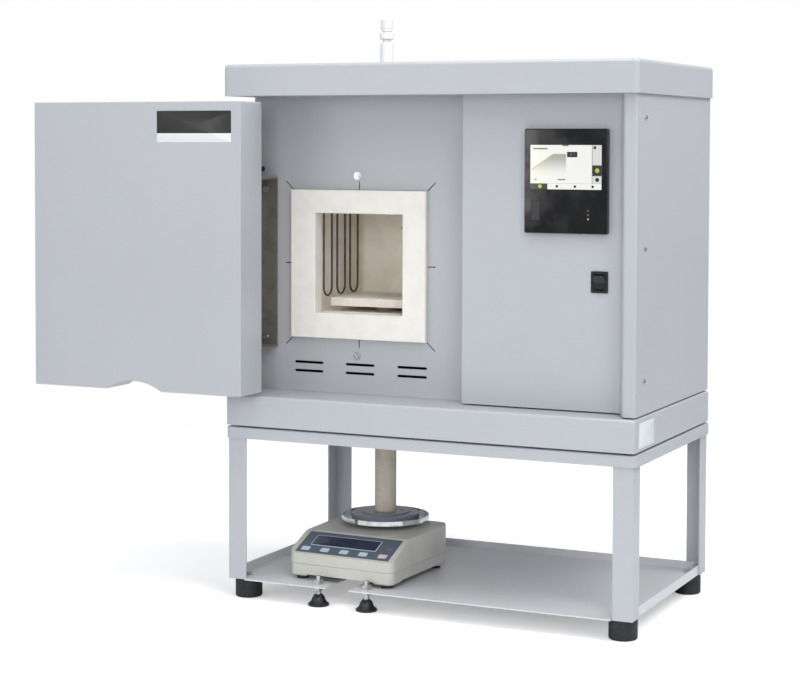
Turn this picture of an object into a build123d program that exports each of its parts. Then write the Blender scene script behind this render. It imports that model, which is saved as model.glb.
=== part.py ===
from build123d import *
import os
from math import atan2, cos, degrees, hypot, radians, sin

os.makedirs("parts", exist_ok=True)

# ---------------------------------------------------------------------------
# Driving dimensions, mm.  X to the right, Y to the back, Z up, floor at Z = 0.
# ---------------------------------------------------------------------------
width = 655.0
depth = 370.0
total_height = 890.0
front = -depth / 2
back = depth / 2

# Levels of the stand and the housing
foot_height = 30.0
tray_sheet = 2.0
tray_top = foot_height + tray_sheet
ring_top = 263.0
ring_height = 17.0
plinth_bottom = 266.0
plinth_top = 312.5
cabinet_bottom = 314.5
lid_bottom = 765.0
lid_top = 812.5

# Cabinet sheet metal
sheet = 1.5
lid_sheet = 2.0
half_cabinet = 322.5
recess_y = front + 88.0
control_y = front + 50.0
post_y = front + 12.0
divider_x = 43.0

# Stand
leg_width = 30.0
angle_sheet = 3.0
leg_front = front + 6.4
leg_back = back - 2.4
foot_radius = 20.6
foot_x = half_cabinet - 21.5
foot_rows = (leg_front + 24.6, leg_back - 24.6)
rim_height = 12.0
rim_bolt_z = tray_top + 8.0
rim_bolt_rows = (leg_front + 16.0, leg_back - 16.0)

# Heated chamber, nearly a cube, and the blocks round it
chamber = 150.0
chamber_height = 152.7
chamber_x = -140.0
chamber_y = front + 180.0
chamber_z = 510.0
chamber_front = front + 101.0
chamber_depth = 154.0
chamber_half_width = 85.0
block_width = 231.0
collar_x = chamber_x - 1.5
collar_width = 227.0
collar_height = 227.0
collar_front = front + 79.5
mouth_x = chamber_x + 0.5
mouth_width = 147.0
block_back = chamber_front + chamber_depth + 30.5
insulation_top = 700.0
insulation_back = 150.0

# Hanging heating elements, three on each side wall
element_x = (chamber_x - 71.0, chamber_x + 71.0)
element_y = (chamber_y - 61.0, chamber_y - 15.5, chamber_y + 29.5)
element_bend = 13.5
element_wire = 1.5
element_terminal = 3.5
element_low = 457.5
terminal_top = 740.0

# Support tube between the balance and the sample plate
tube_radius = 16.75
tube_bore = 12.0
bushing_bore = 20.0
bushing_radius = 23.0
plate_size = 130.0
plate_bottom = 444.0
plate_top = 456.5

# Door linkage: a swing arm turns about arm_axis and carries the door's pivot
arm_length = 158.0
arm_angle = 158.0
arm_axis = (-300.0, front + 36.0)
door_axis = (
    arm_axis[0] + arm_length * cos(radians(arm_angle)),
    arm_axis[1] - arm_length * sin(radians(arm_angle)),
)
link_offset = (14.0 * cos(radians(191.0)), 14.0 * sin(radians(191.0)))
link_axis = (arm_axis[0] + link_offset[0], arm_axis[1] + link_offset[1])
link_door_axis = (door_axis[0] + link_offset[0], door_axis[1] + link_offset[1])
pin_radius = 4.0
link_pin_radius = 3.0
running_gap = 0.1
bracket_low = 379.0
bracket_high = 642.0
flange = 3.0
arm_sheet = 6.0
arm_gap = 2.0
arm_width = 18.0
arm_low = bracket_low + flange + arm_gap
arm_high = bracket_high - flange - arm_gap - arm_sheet
link_z = 648.0
link_sheet = 4.0

# Door, placed from its pivot
door_width = 367.0
door_height = 438.0
door_depth = 63.5
door_left = door_axis[0] - 185.0
door_front = door_axis[1] - 36.0
door_low = 318.0
door_sheet = 1.5
door_mid_x = door_left + door_width / 2
door_mid_z = door_low + door_height / 2
door_back = door_front + door_depth
grip_chord = 98.0
grip_rise = 14.0
grip_radius = (grip_chord**2 / 4 + grip_rise**2) / (2 * grip_rise)
label_width = 128.6
label_height = 47.4
label_seat = 0.4
plug_x = door_axis[0] + chamber_x - (arm_axis[0] + arm_length)
plug_back = door_axis[1] + collar_front - arm_axis[1] - 0.5

# Controller and switch on the control panel
controller_x = 207.0
controller_z = 641.5
controller_width = 125.0
controller_height = 149.0
controller_front = control_y - 9.0
screen_width = 107.0
screen_height = 63.0
screen_z = 661.3
flap_width = 13.2
flap_height = 28.0
flap_x = 161.5
flap_z = 599.0
flap_sheet = 2.0
flap_pivot_z = flap_z - flap_height / 2 + 1.0
switch_x = 256.0
switch_z = 499.0
switch_tilt = 9.0
rocker_radius = 11.2
switch_pivot_y = control_y + 3.0

# Balance, standing on the tray a little turned
balance_x = -142.0
balance_y = -58.0
balance_turn = -2.5
balance_width = 178.0
balance_depth = 190.0
balance_bottom = 41.0
balance_seam = 57.0
balance_pocket = 3.5
balance_corner = 32.0
balance_brow = 72.0
balance_top_front = 97.5
balance_top_back = 101.5
balance_wall = 2.5
slope_start = -balance_depth / 2
slope_end = slope_start + 58.0
foil_width = 160.0
foil_height = 54.0
foil_sheet = 0.8
key_width = 14.0
key_height = 9.0
key_pitch = 33.0
key_rise = 0.5
key_depth = 3.2
key_offset = -17.0
pan_radius = 68.5
pan_bottom = 106.0
pan_rim = 8.4

# Levelling feet beside the tray's notch
notch_x = -135.0
notch_width = 39.0
notch_back = -60.0
levelling_y = front + 20.0
levelling_x = (notch_x - 40.0, notch_x + 40.0)
stud_radius = 4.0


def front_plane(y):
    """Plane facing the front at depth y, with local x = X and local y = Z."""
    return Plane.XZ.offset(-y)


def side_plane(x):
    """Plane facing right at x, with local x = Y and local y = Z."""
    return Plane.YZ.offset(x)


def axis_plane(x, y):
    """Upright plane through a vertical axis, with local x = radius and local y = Z."""
    return Plane(origin=(x, y, 0), x_dir=(1, 0, 0), z_dir=(0, -1, 0))


def vertical_axis(x, y):
    """Vertical axis through a point of the plan."""
    return Axis((x, y, 0), (0, 0, 1))


def save(piece, name):
    """Label a finished piece and write its STEP file."""
    piece.part.label = name
    export_step(piece.part, f"parts/{name}.step")


# ---------------------------------------------------------------------------
# Stand: feet, angle legs, ring, tray
# ---------------------------------------------------------------------------
foot_places = [(side * foot_x, row) for side in (-1, 1) for row in foot_rows]

with BuildPart() as rubber_feet:
    with BuildSketch():
        with Locations(*foot_places):
            Circle(foot_radius)
    extrude(amount=foot_height)
    fillet(rubber_feet.edges().group_by(Axis.Z)[0], 3)
    chamfer(rubber_feet.edges().group_by(Axis.Z)[-1], 1)
    with BuildSketch(Plane.XY.offset(foot_height)):
        with Locations(*foot_places):
            Circle(3.1)
    extrude(amount=-18, mode=Mode.SUBTRACT)
save(rubber_feet, "rubber_feet")

# Each leg is an angle with its corner outwards
with BuildPart() as stand_legs:
    with BuildSketch(Plane.XY.offset(foot_height)):
        for side in (-1, 1):
            for corner_y, inward in ((leg_front, 1), (leg_back, -1)):
                with Locations((side * (half_cabinet - leg_width / 2), corner_y + inward * angle_sheet / 2)):
                    Rectangle(leg_width, angle_sheet)
                with Locations((side * (half_cabinet - angle_sheet / 2), corner_y + inward * leg_width / 2)):
                    Rectangle(angle_sheet, leg_width)
    extrude(amount=ring_top - angle_sheet - foot_height)
    fillet(stand_legs.edges().filter_by(Axis.Z), 0.8)
    with BuildSketch(Plane.YZ):
        with Locations(*[(row, rim_bolt_z) for row in rim_bolt_rows]):
            Circle(2.6)
    extrude(amount=width / 2, both=True, mode=Mode.SUBTRACT)
save(stand_legs, "stand_legs")

ring_wall = 2.0
ring_centre_y = 2.0
with BuildPart() as frame_ring:
    with BuildSketch(Plane.XY.offset(ring_top - ring_height)):
        with Locations((0, ring_centre_y)):
            RectangleRounded(width - 2, depth - 4, 8)
            RectangleRounded(width - 2 - 2 * ring_wall, depth - 4 - 2 * ring_wall, 3.4, mode=Mode.SUBTRACT)
    extrude(amount=ring_height)
    with BuildSketch(Plane.XY.offset(ring_top - angle_sheet)):
        with Locations((0, ring_centre_y)):
            RectangleRounded(width - 2, depth - 4, 8)
            Rectangle(width - 62, depth - 64, mode=Mode.SUBTRACT)
    extrude(amount=angle_sheet)
    fillet(frame_ring.faces().sort_by(Axis.Z)[-1].outer_wire().edges(), 2)
    # welded pads that carry the housing and leave the shadow gap
    with BuildSketch(Plane.XY.offset(ring_top)):
        with GridLocations(590, 300, 2, 2):
            Circle(12)
    extrude(amount=plinth_bottom - ring_top)
save(frame_ring, "frame_ring")

tray_half_x = half_cabinet - angle_sheet
tray_rear = leg_back - angle_sheet - 0.1
tray_mid = leg_front + angle_sheet + 0.1
with BuildPart() as tray:
    with BuildSketch(Plane.XY.offset(foot_height)):
        with Locations((0, (tray_mid + tray_rear) / 2)):
            RectangleRounded(2 * tray_half_x, tray_rear - tray_mid, 1.2)
        with Locations((0, (front + 1 + tray_mid) / 2)):
            Rectangle(2 * (half_cabinet - leg_width - 0.5), tray_mid - front - 1)
        with Locations((notch_x, (front + notch_back) / 2)):
            Rectangle(notch_width, notch_back - front, mode=Mode.SUBTRACT)
        with Locations((notch_x, notch_back)):
            Circle(notch_width / 2, mode=Mode.SUBTRACT)
        with Locations(*[(x, levelling_y) for x in levelling_x]):
            Circle(stud_radius + 0.3, mode=Mode.SUBTRACT)
        with Locations(*foot_places):
            Circle(3.2, mode=Mode.SUBTRACT)
    extrude(amount=tray_sheet)
    # rims left, right and back; the front stays open
    with BuildSketch(Plane.XY.offset(tray_top)):
        with Locations((0, (tray_mid + tray_rear) / 2)):
            RectangleRounded(2 * tray_half_x, tray_rear - tray_mid, 1.2)
        with Locations((0, (front + tray_rear - tray_sheet) / 2)):
            Rectangle(2 * (tray_half_x - tray_sheet), tray_rear - tray_sheet - front, mode=Mode.SUBTRACT)
    extrude(amount=rim_height)
    with BuildSketch(Plane.YZ):
        with Locations(*[(row, rim_bolt_z) for row in rim_bolt_rows]):
            Circle(2.6)
    extrude(amount=width / 2, both=True, mode=Mode.SUBTRACT)
save(tray, "tray")

# Bolts down into the feet, bolts through the rims, and the levelling feet's nuts
hex_small = 5.8
hex_large = 7.5
with BuildPart() as tray_fixings:
    with BuildSketch(Plane.XY.offset(tray_top)):
        with Locations(*foot_places):
            RegularPolygon(hex_small, 6)
    extrude(amount=4)
    with BuildSketch(Plane.XY.offset(tray_top)):
        with Locations(*foot_places):
            Circle(3)
    extrude(amount=-(tray_sheet + 16))
    for side in (-1, 1):
        rim_face = Plane.YZ.offset(side * (tray_half_x - tray_sheet))
        with BuildSketch(rim_face):
            with Locations(*[(row, rim_bolt_z) for row in rim_bolt_rows]):
                RegularPolygon(hex_small, 6)
        extrude(amount=-side * 5)
        with BuildSketch(rim_face):
            with Locations(*[(row, rim_bolt_z) for row in rim_bolt_rows]):
                Circle(2.5)
        extrude(amount=-side * 9)
        with BuildSketch(rim_face):
            with Locations(*[(row, rim_bolt_z) for row in rim_bolt_rows]):
                Circle(2.5)
        extrude(amount=side * (tray_sheet + angle_sheet - 0.2))
    for level, rise in ((tray_top, 6.5), (foot_height, -6.5)):
        with BuildSketch(Plane.XY.offset(level)):
            with Locations(*[(x, levelling_y) for x in levelling_x]):
                RegularPolygon(hex_large, 6)
                Circle(stud_radius + running_gap, mode=Mode.SUBTRACT)
        extrude(amount=rise)
save(tray_fixings, "tray_fixings")


def levelling_foot(x):
    """Threaded stud in a conical pad, standing beside the notch.

    Args:
        x: place of the stud along the tray's front edge.
    """
    with BuildPart() as piece:
        with BuildSketch(axis_plane(x, levelling_y)):
            with BuildLine():
                Polyline((0, 10), (stud_radius, 10), (stud_radius, 44.2), (3.2, 45), (0, 45), (0, 10))
            make_face()
        revolve(axis=vertical_axis(x, levelling_y))
        with BuildSketch(axis_plane(x, levelling_y)):
            with BuildLine():
                Line((0, 0), (15.4, 0))
                Line((15.4, 0), (16, 0.6))
                Line((16, 0.6), (16, 3.2))
                ThreePointArc((16, 3.2), (13, 5.4), (10.4, 9))
                ThreePointArc((10.4, 9), (9.2, 12.6), (7.2, 15.5))
                Line((7.2, 15.5), (5.6, 17))
                Line((5.6, 17), (0, 17))
                Line((0, 17), (0, 0))
            make_face()
        revolve(axis=vertical_axis(x, levelling_y))
    return piece


save(levelling_foot(levelling_x[0]), "levelling_foot_left")
save(levelling_foot(levelling_x[1]), "levelling_foot_right")

# ---------------------------------------------------------------------------
# Housing: plinth, base plate, side, control, recess and rear panels, lid
# ---------------------------------------------------------------------------
plinth_width = 650.0
plinth_depth = 368.0
with BuildPart() as plinth_hollow:
    with BuildSketch(Plane.XY.offset(plinth_bottom + sheet)):
        with Locations((0, 1)):
            RectangleRounded(plinth_width - 2 * sheet, plinth_depth - 2 * sheet, 3.5)
    extrude(amount=plinth_top - plinth_bottom - 2 * sheet)
    fillet(plinth_hollow.edges().group_by(Axis.Z)[-1], 2.5)

with BuildPart() as plinth_housing:
    with BuildSketch(Plane.XY.offset(plinth_bottom)):
        with Locations((0, 1)):
            RectangleRounded(plinth_width, plinth_depth, 5)
    extrude(amount=plinth_top - plinth_bottom)
    fillet(plinth_housing.edges().group_by(Axis.Z)[-1], 4)
    add(plinth_hollow.part, mode=Mode.SUBTRACT)
    with BuildSketch(Plane.XY.offset(plinth_bottom)):
        Rectangle(plinth_width - 80, plinth_depth - 80)
    extrude(amount=sheet, mode=Mode.SUBTRACT)
    with BuildSketch(Plane.XY.offset(plinth_top)):
        with Locations((chamber_x, chamber_y)):
            Circle(bushing_radius + 3)
    extrude(amount=-10, mode=Mode.SUBTRACT)
save(plinth_housing, "plinth_housing")

with BuildPart() as base_plate:
    with BuildSketch(Plane.XY.offset(cabinet_bottom)):
        with Locations(((divider_x - 319) / 2, (recess_y + sheet + 183) / 2)):
            Rectangle(divider_x + 319, 183 - recess_y - sheet)
        with Locations(((divider_x + 318) / 2, (recess_y + 19 + 183) / 2)):
            Rectangle(318 - divider_x, 183 - recess_y - 19)
        with Locations((170, -100)):
            Rectangle(230, 60)
        with Locations((chamber_x, chamber_y)):
            Circle(bushing_radius + 0.3, mode=Mode.SUBTRACT)
    extrude(amount=2)
    # pads that hold the cabinet clear of the plinth
    with BuildSketch(Plane.XY.offset(plinth_top)):
        with Locations((-290, -60), (-290, 150), (280, -50), (280, 150)):
            Circle(14)
    extrude(amount=cabinet_bottom - plinth_top)
save(base_plate, "base_plate")

cabinet_height = lid_bottom - cabinet_bottom
side_screw_y = front + 47.0
side_screw_z = (362.3, 547.4, 731.6)
left_screw_y = recess_y + 16.0
screw_hole = 2.1

with BuildPart() as side_panel_right:
    with BuildSketch(side_plane(half_cabinet - sheet)):
        with Locations(((post_y + 8.4 + back) / 2, (cabinet_bottom + lid_bottom) / 2)):
            Rectangle(back - post_y - 8.4, cabinet_height)
        with Locations(*[(side_screw_y, z) for z in side_screw_z]):
            Circle(screw_hole, mode=Mode.SUBTRACT)
    extrude(amount=sheet)
save(side_panel_right, "side_panel_right")

with BuildPart() as side_panel_left:
    with BuildSketch(side_plane(-half_cabinet)):
        with Locations(((recess_y + back) / 2, (cabinet_bottom + lid_bottom) / 2)):
            Rectangle(back - recess_y, cabinet_height)
        with Locations(*[(left_screw_y, z) for z in side_screw_z]):
            Circle(screw_hole, mode=Mode.SUBTRACT)
    extrude(amount=sheet)
save(side_panel_left, "side_panel_left")

# One bent sheet: divider, control face, jog forward to the post, corner and inner tab
with BuildPart() as control_panel:
    with BuildSketch(Plane.XY.offset(cabinet_bottom)):
        with BuildLine():
            FilletPolyline(
                (divider_x, recess_y + 17),
                (divider_x, control_y),
                (287, control_y),
                (303, post_y),
                (half_cabinet, post_y),
                (half_cabinet, post_y + 8),
                radius=[3, 9, 7, 3],
            )
            offset(amount=sheet, side=Side.LEFT)
        make_face()
        with Locations((half_cabinet - 1.5 * sheet, post_y + 26)):
            Rectangle(sheet, 42)
    extrude(amount=cabinet_height)
    with BuildSketch(front_plane(control_y + 3)):
        with Locations((controller_x, controller_z)):
            Rectangle(117, 140)
        with Locations((switch_x, switch_z)):
            Rectangle(21.6, 27.6)
    extrude(amount=6, mode=Mode.SUBTRACT)
    with BuildSketch(side_plane(half_cabinet)):
        with Locations(*[(side_screw_y, z) for z in side_screw_z]):
            Circle(screw_hole)
    extrude(amount=-6, mode=Mode.SUBTRACT)
save(control_panel, "control_panel")

# Door recess: collar opening with expansion slits, vent slots, screw holes, left tab
slot_pitch = 87.2
slot_z = (344.2, 357.5)
slit = 1.6
collar_screws = ((chamber_x - 5, 645.0), (chamber_x - 5, 371.0))
bracket_screws = ((-301.0, 624.0), (-301.0, 394.0))
sensor_place = (-309.0, 654.7)
with BuildPart() as recess_panel:
    with BuildSketch(front_plane(recess_y + sheet)):
        with Locations(((divider_x - half_cabinet + sheet) / 2, (plinth_top + 0.2 + lid_bottom) / 2)):
            Rectangle(divider_x + half_cabinet - sheet, lid_bottom - plinth_top - 0.2)
        with Locations((collar_x, chamber_z)):
            Rectangle(collar_width + 1, collar_height + 1, mode=Mode.SUBTRACT)
            Rectangle(slit, collar_height + 26, mode=Mode.SUBTRACT)
            Rectangle(collar_width + 26, slit, mode=Mode.SUBTRACT)
        for side in (-1, 1):
            for rise in (-1, 1):
                with Locations(
                    Location(
                        (collar_x + side * (collar_width / 2 + 4), chamber_z + rise * (collar_height / 2 + 4)),
                        45 * side * rise,
                    )
                ):
                    Rectangle(24, slit, mode=Mode.SUBTRACT)
        for level in slot_z:
            with Locations((chamber_x, level)):
                with GridLocations(slot_pitch, 1, 3, 1):
                    SlotOverall(49, 4, mode=Mode.SUBTRACT)
        with Locations(*collar_screws, *bracket_screws):
            Circle(screw_hole, mode=Mode.SUBTRACT)
        with Locations(sensor_place):
            Circle(4.1, mode=Mode.SUBTRACT)
    extrude(amount=sheet)
    with BuildSketch(side_plane(-half_cabinet + sheet)):
        with Locations((recess_y + 16, (cabinet_bottom + lid_bottom) / 2)):
            Rectangle(32, cabinet_height)
        with Locations(*[(left_screw_y, z) for z in side_screw_z]):
            Circle(screw_hole, mode=Mode.SUBTRACT)
    extrude(amount=sheet)
save(recess_panel, "recess_panel")

rear_screws = [(side * 306, z) for side in (-1, 1) for z in (335, 540, 745)]
gland_place = (230.0, 350.0)
with BuildPart() as rear_panel:
    with BuildSketch(front_plane(back)):
        with Locations((0, (cabinet_bottom + lid_bottom) / 2)):
            Rectangle(2 * (half_cabinet - sheet), cabinet_height)
        with Locations((chamber_x, 700), (180, 700), (180, 430)):
            with GridLocations(1, 14, 1, 6):
                SlotOverall(150, 5, mode=Mode.SUBTRACT)
        with Locations(gland_place):
            Circle(8.2, mode=Mode.SUBTRACT)
        with Locations(*rear_screws):
            Circle(screw_hole, mode=Mode.SUBTRACT)
    extrude(amount=sheet)
save(rear_panel, "rear_panel")

head_height = 2.6
washer_height = 0.9
rear_face = Plane(origin=(0, back, 0), x_dir=(-1, 0, 0), z_dir=(0, 1, 0))
left_face = Plane(origin=(-half_cabinet, 0, 0), x_dir=(0, 1, 0), z_dir=(-1, 0, 0))
# outer face of each sheet, its screws, how far their shanks reach, and the radii of head and washer
screw_rows = (
    (side_plane(half_cabinet), [(side_screw_y, z) for z in side_screw_z], 8, 2.9, 3.1),
    (left_face, [(left_screw_y, -z) for z in side_screw_z], 8, 2.9, 3.1),
    (front_plane(recess_y), collar_screws, 9, 3.8, 6),
    (front_plane(recess_y - flange), bracket_screws, 12, 3.8, 5.5),
)
with BuildPart() as case_screws:
    for face, places, length, head, washer in screw_rows:
        with BuildSketch(face):
            with Locations(*places):
                Circle(washer)
        extrude(amount=washer_height)
        with BuildSketch(face):
            with Locations(*places):
                Circle(head)
        extrude(amount=head_height)
        with BuildSketch(face.offset(head_height)):
            with Locations(*places):
                RegularPolygon(1.5, 6)
        extrude(amount=-1.4, mode=Mode.SUBTRACT)
        with BuildSketch(face):
            with Locations(*places):
                Circle(2)
        extrude(amount=-length)
    with BuildSketch(rear_face):
        with Locations(*[(-x, z) for x, z in rear_screws]):
            Circle(2)
    extrude(amount=-8)
save(case_screws, "case_screws")

with BuildPart() as lid_hollow:
    with BuildSketch(Plane.XY.offset(lid_bottom + lid_sheet)):
        RectangleRounded(width - 2 * lid_sheet, depth - 2 * lid_sheet, 4)
    extrude(amount=lid_top - lid_bottom - 2 * lid_sheet)
    fillet(lid_hollow.edges().group_by(Axis.Z)[-1], 3.5)

vent_radius = 10.0
with BuildPart() as lid:
    with BuildSketch(Plane.XY.offset(lid_bottom)):
        RectangleRounded(width, depth, 6)
    extrude(amount=lid_top - lid_bottom)
    fillet(lid.edges().group_by(Axis.Z)[-1], 5.5)
    add(lid_hollow.part, mode=Mode.SUBTRACT)
    # under side, open behind the lip over the door recess
    with BuildSketch(Plane.XY.offset(lid_bottom)):
        with Locations((0, 42)):
            Rectangle(width - 45, 256)
    extrude(amount=lid_sheet, mode=Mode.SUBTRACT)
    with BuildSketch(Plane.XY.offset(lid_top)):
        with Locations((chamber_x, chamber_y)):
            Circle(vent_radius + 0.3)
    extrude(amount=-10, mode=Mode.SUBTRACT)
save(lid, "lid")

# ---------------------------------------------------------------------------
# Vent: a pipe from the chamber roof through the lid, with a nut and a cap
# ---------------------------------------------------------------------------
block_low = chamber_z - collar_height / 2
block_high = chamber_z + collar_height / 2
neck = 850.5
with BuildPart() as vent_pipe:
    with BuildSketch(axis_plane(chamber_x, chamber_y)):
        with BuildLine():
            Polyline(
                (4, block_high), (vent_radius, block_high), (vent_radius, neck - 1.5), (vent_radius - 1.5, neck),
                (6.5, neck), (6.5, neck + 5), (10, neck + 5), (11, neck + 6), (11, neck + 14), (10, neck + 15),
                (6.5, neck + 15), (6.5, neck + 18), (4, neck + 18), (4, block_high),
            )
        make_face()
    revolve(axis=vertical_axis(chamber_x, chamber_y))
save(vent_pipe, "vent_pipe")

cap_low = neck + 18
with BuildPart() as vent_cap:
    with BuildSketch(axis_plane(chamber_x, chamber_y)):
        with BuildLine():
            Polyline(
                (0, cap_low), (8.6, cap_low), (8.6, cap_low + 4), (9.25, cap_low + 4.6), (9.25, cap_low + 16.8),
                (8, cap_low + 18), (3.2, cap_low + 18), (3.2, total_height - 0.6), (2.6, total_height),
                (0, total_height), (0, cap_low),
            )
        make_face()
    revolve(axis=vertical_axis(chamber_x, chamber_y))
save(vent_cap, "vent_cap")

# ---------------------------------------------------------------------------
# Chamber: collar, floor, roof, three walls, bushing, outer insulation
# ---------------------------------------------------------------------------
element_legs = [(x, y + side * element_bend) for x in element_x for y in element_y for side in (-1, 1)]
block_half = block_width / 2
chamber_low = chamber_z - chamber / 2
chamber_high = chamber_low + chamber_height
thermocouple_z = chamber_z + 50.0

with BuildPart() as chamber_collar:
    with BuildSketch(front_plane(chamber_front)):
        with Locations((collar_x, chamber_z)):
            Rectangle(collar_width, collar_height)
        with Locations((mouth_x, (chamber_low + chamber_high) / 2)):
            Rectangle(mouth_width, chamber_height, mode=Mode.SUBTRACT)
    extrude(amount=chamber_front - collar_front)
    chamfer(chamber_collar.faces().sort_by(Axis.Y)[0].edges(), 1.2)
save(chamber_collar, "chamber_collar")

block_mid_y = (chamber_front + block_back) / 2
block_depth = block_back - chamber_front
with BuildPart() as chamber_floor:
    with BuildSketch(Plane.XY.offset(block_low)):
        with Locations((chamber_x, block_mid_y)):
            Rectangle(block_width, block_depth)
        with Locations((chamber_x, chamber_y)):
            Circle(bushing_radius + 0.2, mode=Mode.SUBTRACT)
    extrude(amount=chamber_low - block_low)
save(chamber_floor, "chamber_floor")

with BuildPart() as chamber_roof:
    with BuildSketch(Plane.XY.offset(chamber_high)):
        with Locations((chamber_x, block_mid_y)):
            Rectangle(block_width, block_depth)
        with Locations((chamber_x, chamber_y)):
            Circle(5, mode=Mode.SUBTRACT)
        with Locations(*element_legs):
            Circle(element_terminal + 0.5, mode=Mode.SUBTRACT)
    extrude(amount=block_high - chamber_high)
save(chamber_roof, "chamber_roof")


wall_sheath = 3.3
with BuildPart() as chamber_walls:
    with BuildSketch(Plane.XY.offset(chamber_low)):
        for side in (-1, 1):
            with Locations((chamber_x + side * (chamber_half_width + block_half) / 2, block_mid_y)):
                Rectangle(block_half - chamber_half_width, block_depth)
    extrude(amount=chamber_height)
save(chamber_walls, "chamber_walls")

with BuildPart() as chamber_back:
    with BuildSketch(front_plane(block_back)):
        with Locations((chamber_x, (chamber_low + chamber_high) / 2)):
            Rectangle(2 * chamber_half_width, chamber_height)
        with Locations((chamber_x, thermocouple_z)):
            Circle(wall_sheath, mode=Mode.SUBTRACT)
    extrude(amount=block_back - chamber_front - chamber_depth)
save(chamber_back, "chamber_back")

insulation_low = cabinet_bottom + 2
insulation_front = recess_y + 12
with BuildPart() as backup_insulation:
    with BuildSketch(Plane.XY.offset(insulation_low)):
        with Locations((-137, (insulation_front + insulation_back) / 2)):
            Rectangle(350, insulation_back - insulation_front)
    extrude(amount=insulation_top - insulation_low)
    with BuildSketch(front_plane(block_back)):
        with Locations((chamber_x, chamber_z)):
            Rectangle(block_width, collar_height)
    extrude(amount=block_back - insulation_front, mode=Mode.SUBTRACT)
    with BuildSketch(Plane.XY.offset(insulation_low)):
        with Locations((chamber_x, chamber_y)):
            Circle(bushing_radius + 0.2)
    extrude(amount=block_low - insulation_low, mode=Mode.SUBTRACT)
    with BuildSketch(Plane.XY.offset(insulation_top)):
        with Locations((chamber_x, chamber_y)):
            Circle(vent_radius + 0.3)
        with Locations(*element_legs):
            Circle(element_terminal + 0.5)
    extrude(amount=block_high - insulation_top, mode=Mode.SUBTRACT)
    with BuildSketch(front_plane(insulation_back)):
        with Locations((chamber_x, thermocouple_z)):
            Circle(wall_sheath)
    extrude(amount=insulation_back - block_back, mode=Mode.SUBTRACT)
    # hollow behind the vent slots
    with BuildSketch(front_plane(insulation_front + 50)):
        with Locations((chamber_x, sum(slot_z) / 2)):
            Rectangle(290, 34)
    extrude(amount=50, mode=Mode.SUBTRACT)
save(backup_insulation, "backup_insulation")

with BuildPart() as floor_bushing:
    with BuildSketch(Plane.XY.offset(cabinet_bottom)):
        with Locations((chamber_x, chamber_y)):
            Circle(bushing_radius)
            Circle(bushing_bore, mode=Mode.SUBTRACT)
    extrude(amount=chamber_low - cabinet_bottom)
save(floor_bushing, "floor_bushing")

# Each element is a wire bent to a U, with thicker terminals through the roof
bend_z = element_low + element_wire + element_bend
with BuildPart() as heating_elements:
    for x in element_x:
        for y in element_y:
            with BuildSketch(Plane.XY.offset(bend_z)):
                with Locations((x, y - element_bend)):
                    Circle(element_wire)
            revolve(axis=Axis((x, y, bend_z), (1, 0, 0)), revolution_arc=180)
    with BuildSketch(Plane.XY.offset(bend_z)):
        with Locations(*element_legs):
            Circle(element_wire)
    extrude(amount=chamber_high - bend_z)
    with BuildSketch(Plane.XY.offset(chamber_high + 1)):
        with Locations(*element_legs):
            Circle(element_terminal)
    extrude(amount=terminal_top - chamber_high - 1)
    with BuildSketch(Plane.XY.offset(chamber_high)):
        with Locations(*element_legs):
            Circle(element_wire + 1)
    extrude(amount=1)
save(heating_elements, "heating_elements")

# Holder plates on the insulation, and the straps that join neighbouring terminals
holder_top = insulation_top + 5
strap_gap = element_y[1] - element_y[0] - 2 * element_bend
with BuildPart() as element_holders:
    with BuildSketch(Plane.XY.offset(insulation_top)):
        with Locations(*[(x, element_y[1]) for x in element_x]):
            RectangleRounded(30, 130, 4)
        with Locations(*element_legs):
            Circle(element_terminal + 0.1, mode=Mode.SUBTRACT)
    extrude(amount=holder_top - insulation_top)
save(element_holders, "element_holders")

strap_places = [(x, (element_y[i] + element_y[i + 1]) / 2) for x in element_x for i in (0, 1)]
with BuildPart() as power_straps:
    with BuildSketch(Plane.XY.offset(holder_top + 8)):
        with Locations(*strap_places):
            SlotOverall(strap_gap + 16, 16, rotation=90)
        with Locations(*element_legs):
            Circle(element_terminal + 0.1, mode=Mode.SUBTRACT)
    extrude(amount=5)
save(power_straps, "power_straps")

with BuildPart() as thermocouple:
    with BuildSketch(front_plane(insulation_back)):
        with Locations((chamber_x, thermocouple_z)):
            Circle(3)
    extrude(amount=insulation_back - 56)
    with BuildSketch(front_plane(insulation_back + 20)):
        with Locations((chamber_x, thermocouple_z)):
            Circle(12)
    extrude(amount=20)
save(thermocouple, "thermocouple")

# ---------------------------------------------------------------------------
# Electrics behind the control panel
# ---------------------------------------------------------------------------
with BuildPart() as transformer:
    with BuildSketch(front_plane(75)):
        with Locations((130, insulation_low + 56)):
            Rectangle(110, 112)
            with GridLocations(56, 1, 2, 1):
                Rectangle(22, 72, mode=Mode.SUBTRACT)
    extrude(amount=60)
    # the coil wraps the middle leg and stands out at both ends
    with BuildSketch(Plane.XY.offset(insulation_low + 22)):
        with Locations((130, 45)):
            RectangleRounded(76, 104, 8)
            Rectangle(34, 60, mode=Mode.SUBTRACT)
    extrude(amount=68)
save(transformer, "transformer")

with BuildPart() as switching_unit:
    with BuildSketch(Plane.XY.offset(insulation_low)):
        with Locations((292, 90)):
            Rectangle(8, 90)
            with GridLocations(1, 12, 1, 7):
                with Locations((14, 0)):
                    Rectangle(22, 3)
        with Locations((272, 90)):
            Rectangle(34, 56)
    extrude(amount=110)
save(switching_unit, "switching_unit")

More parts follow.
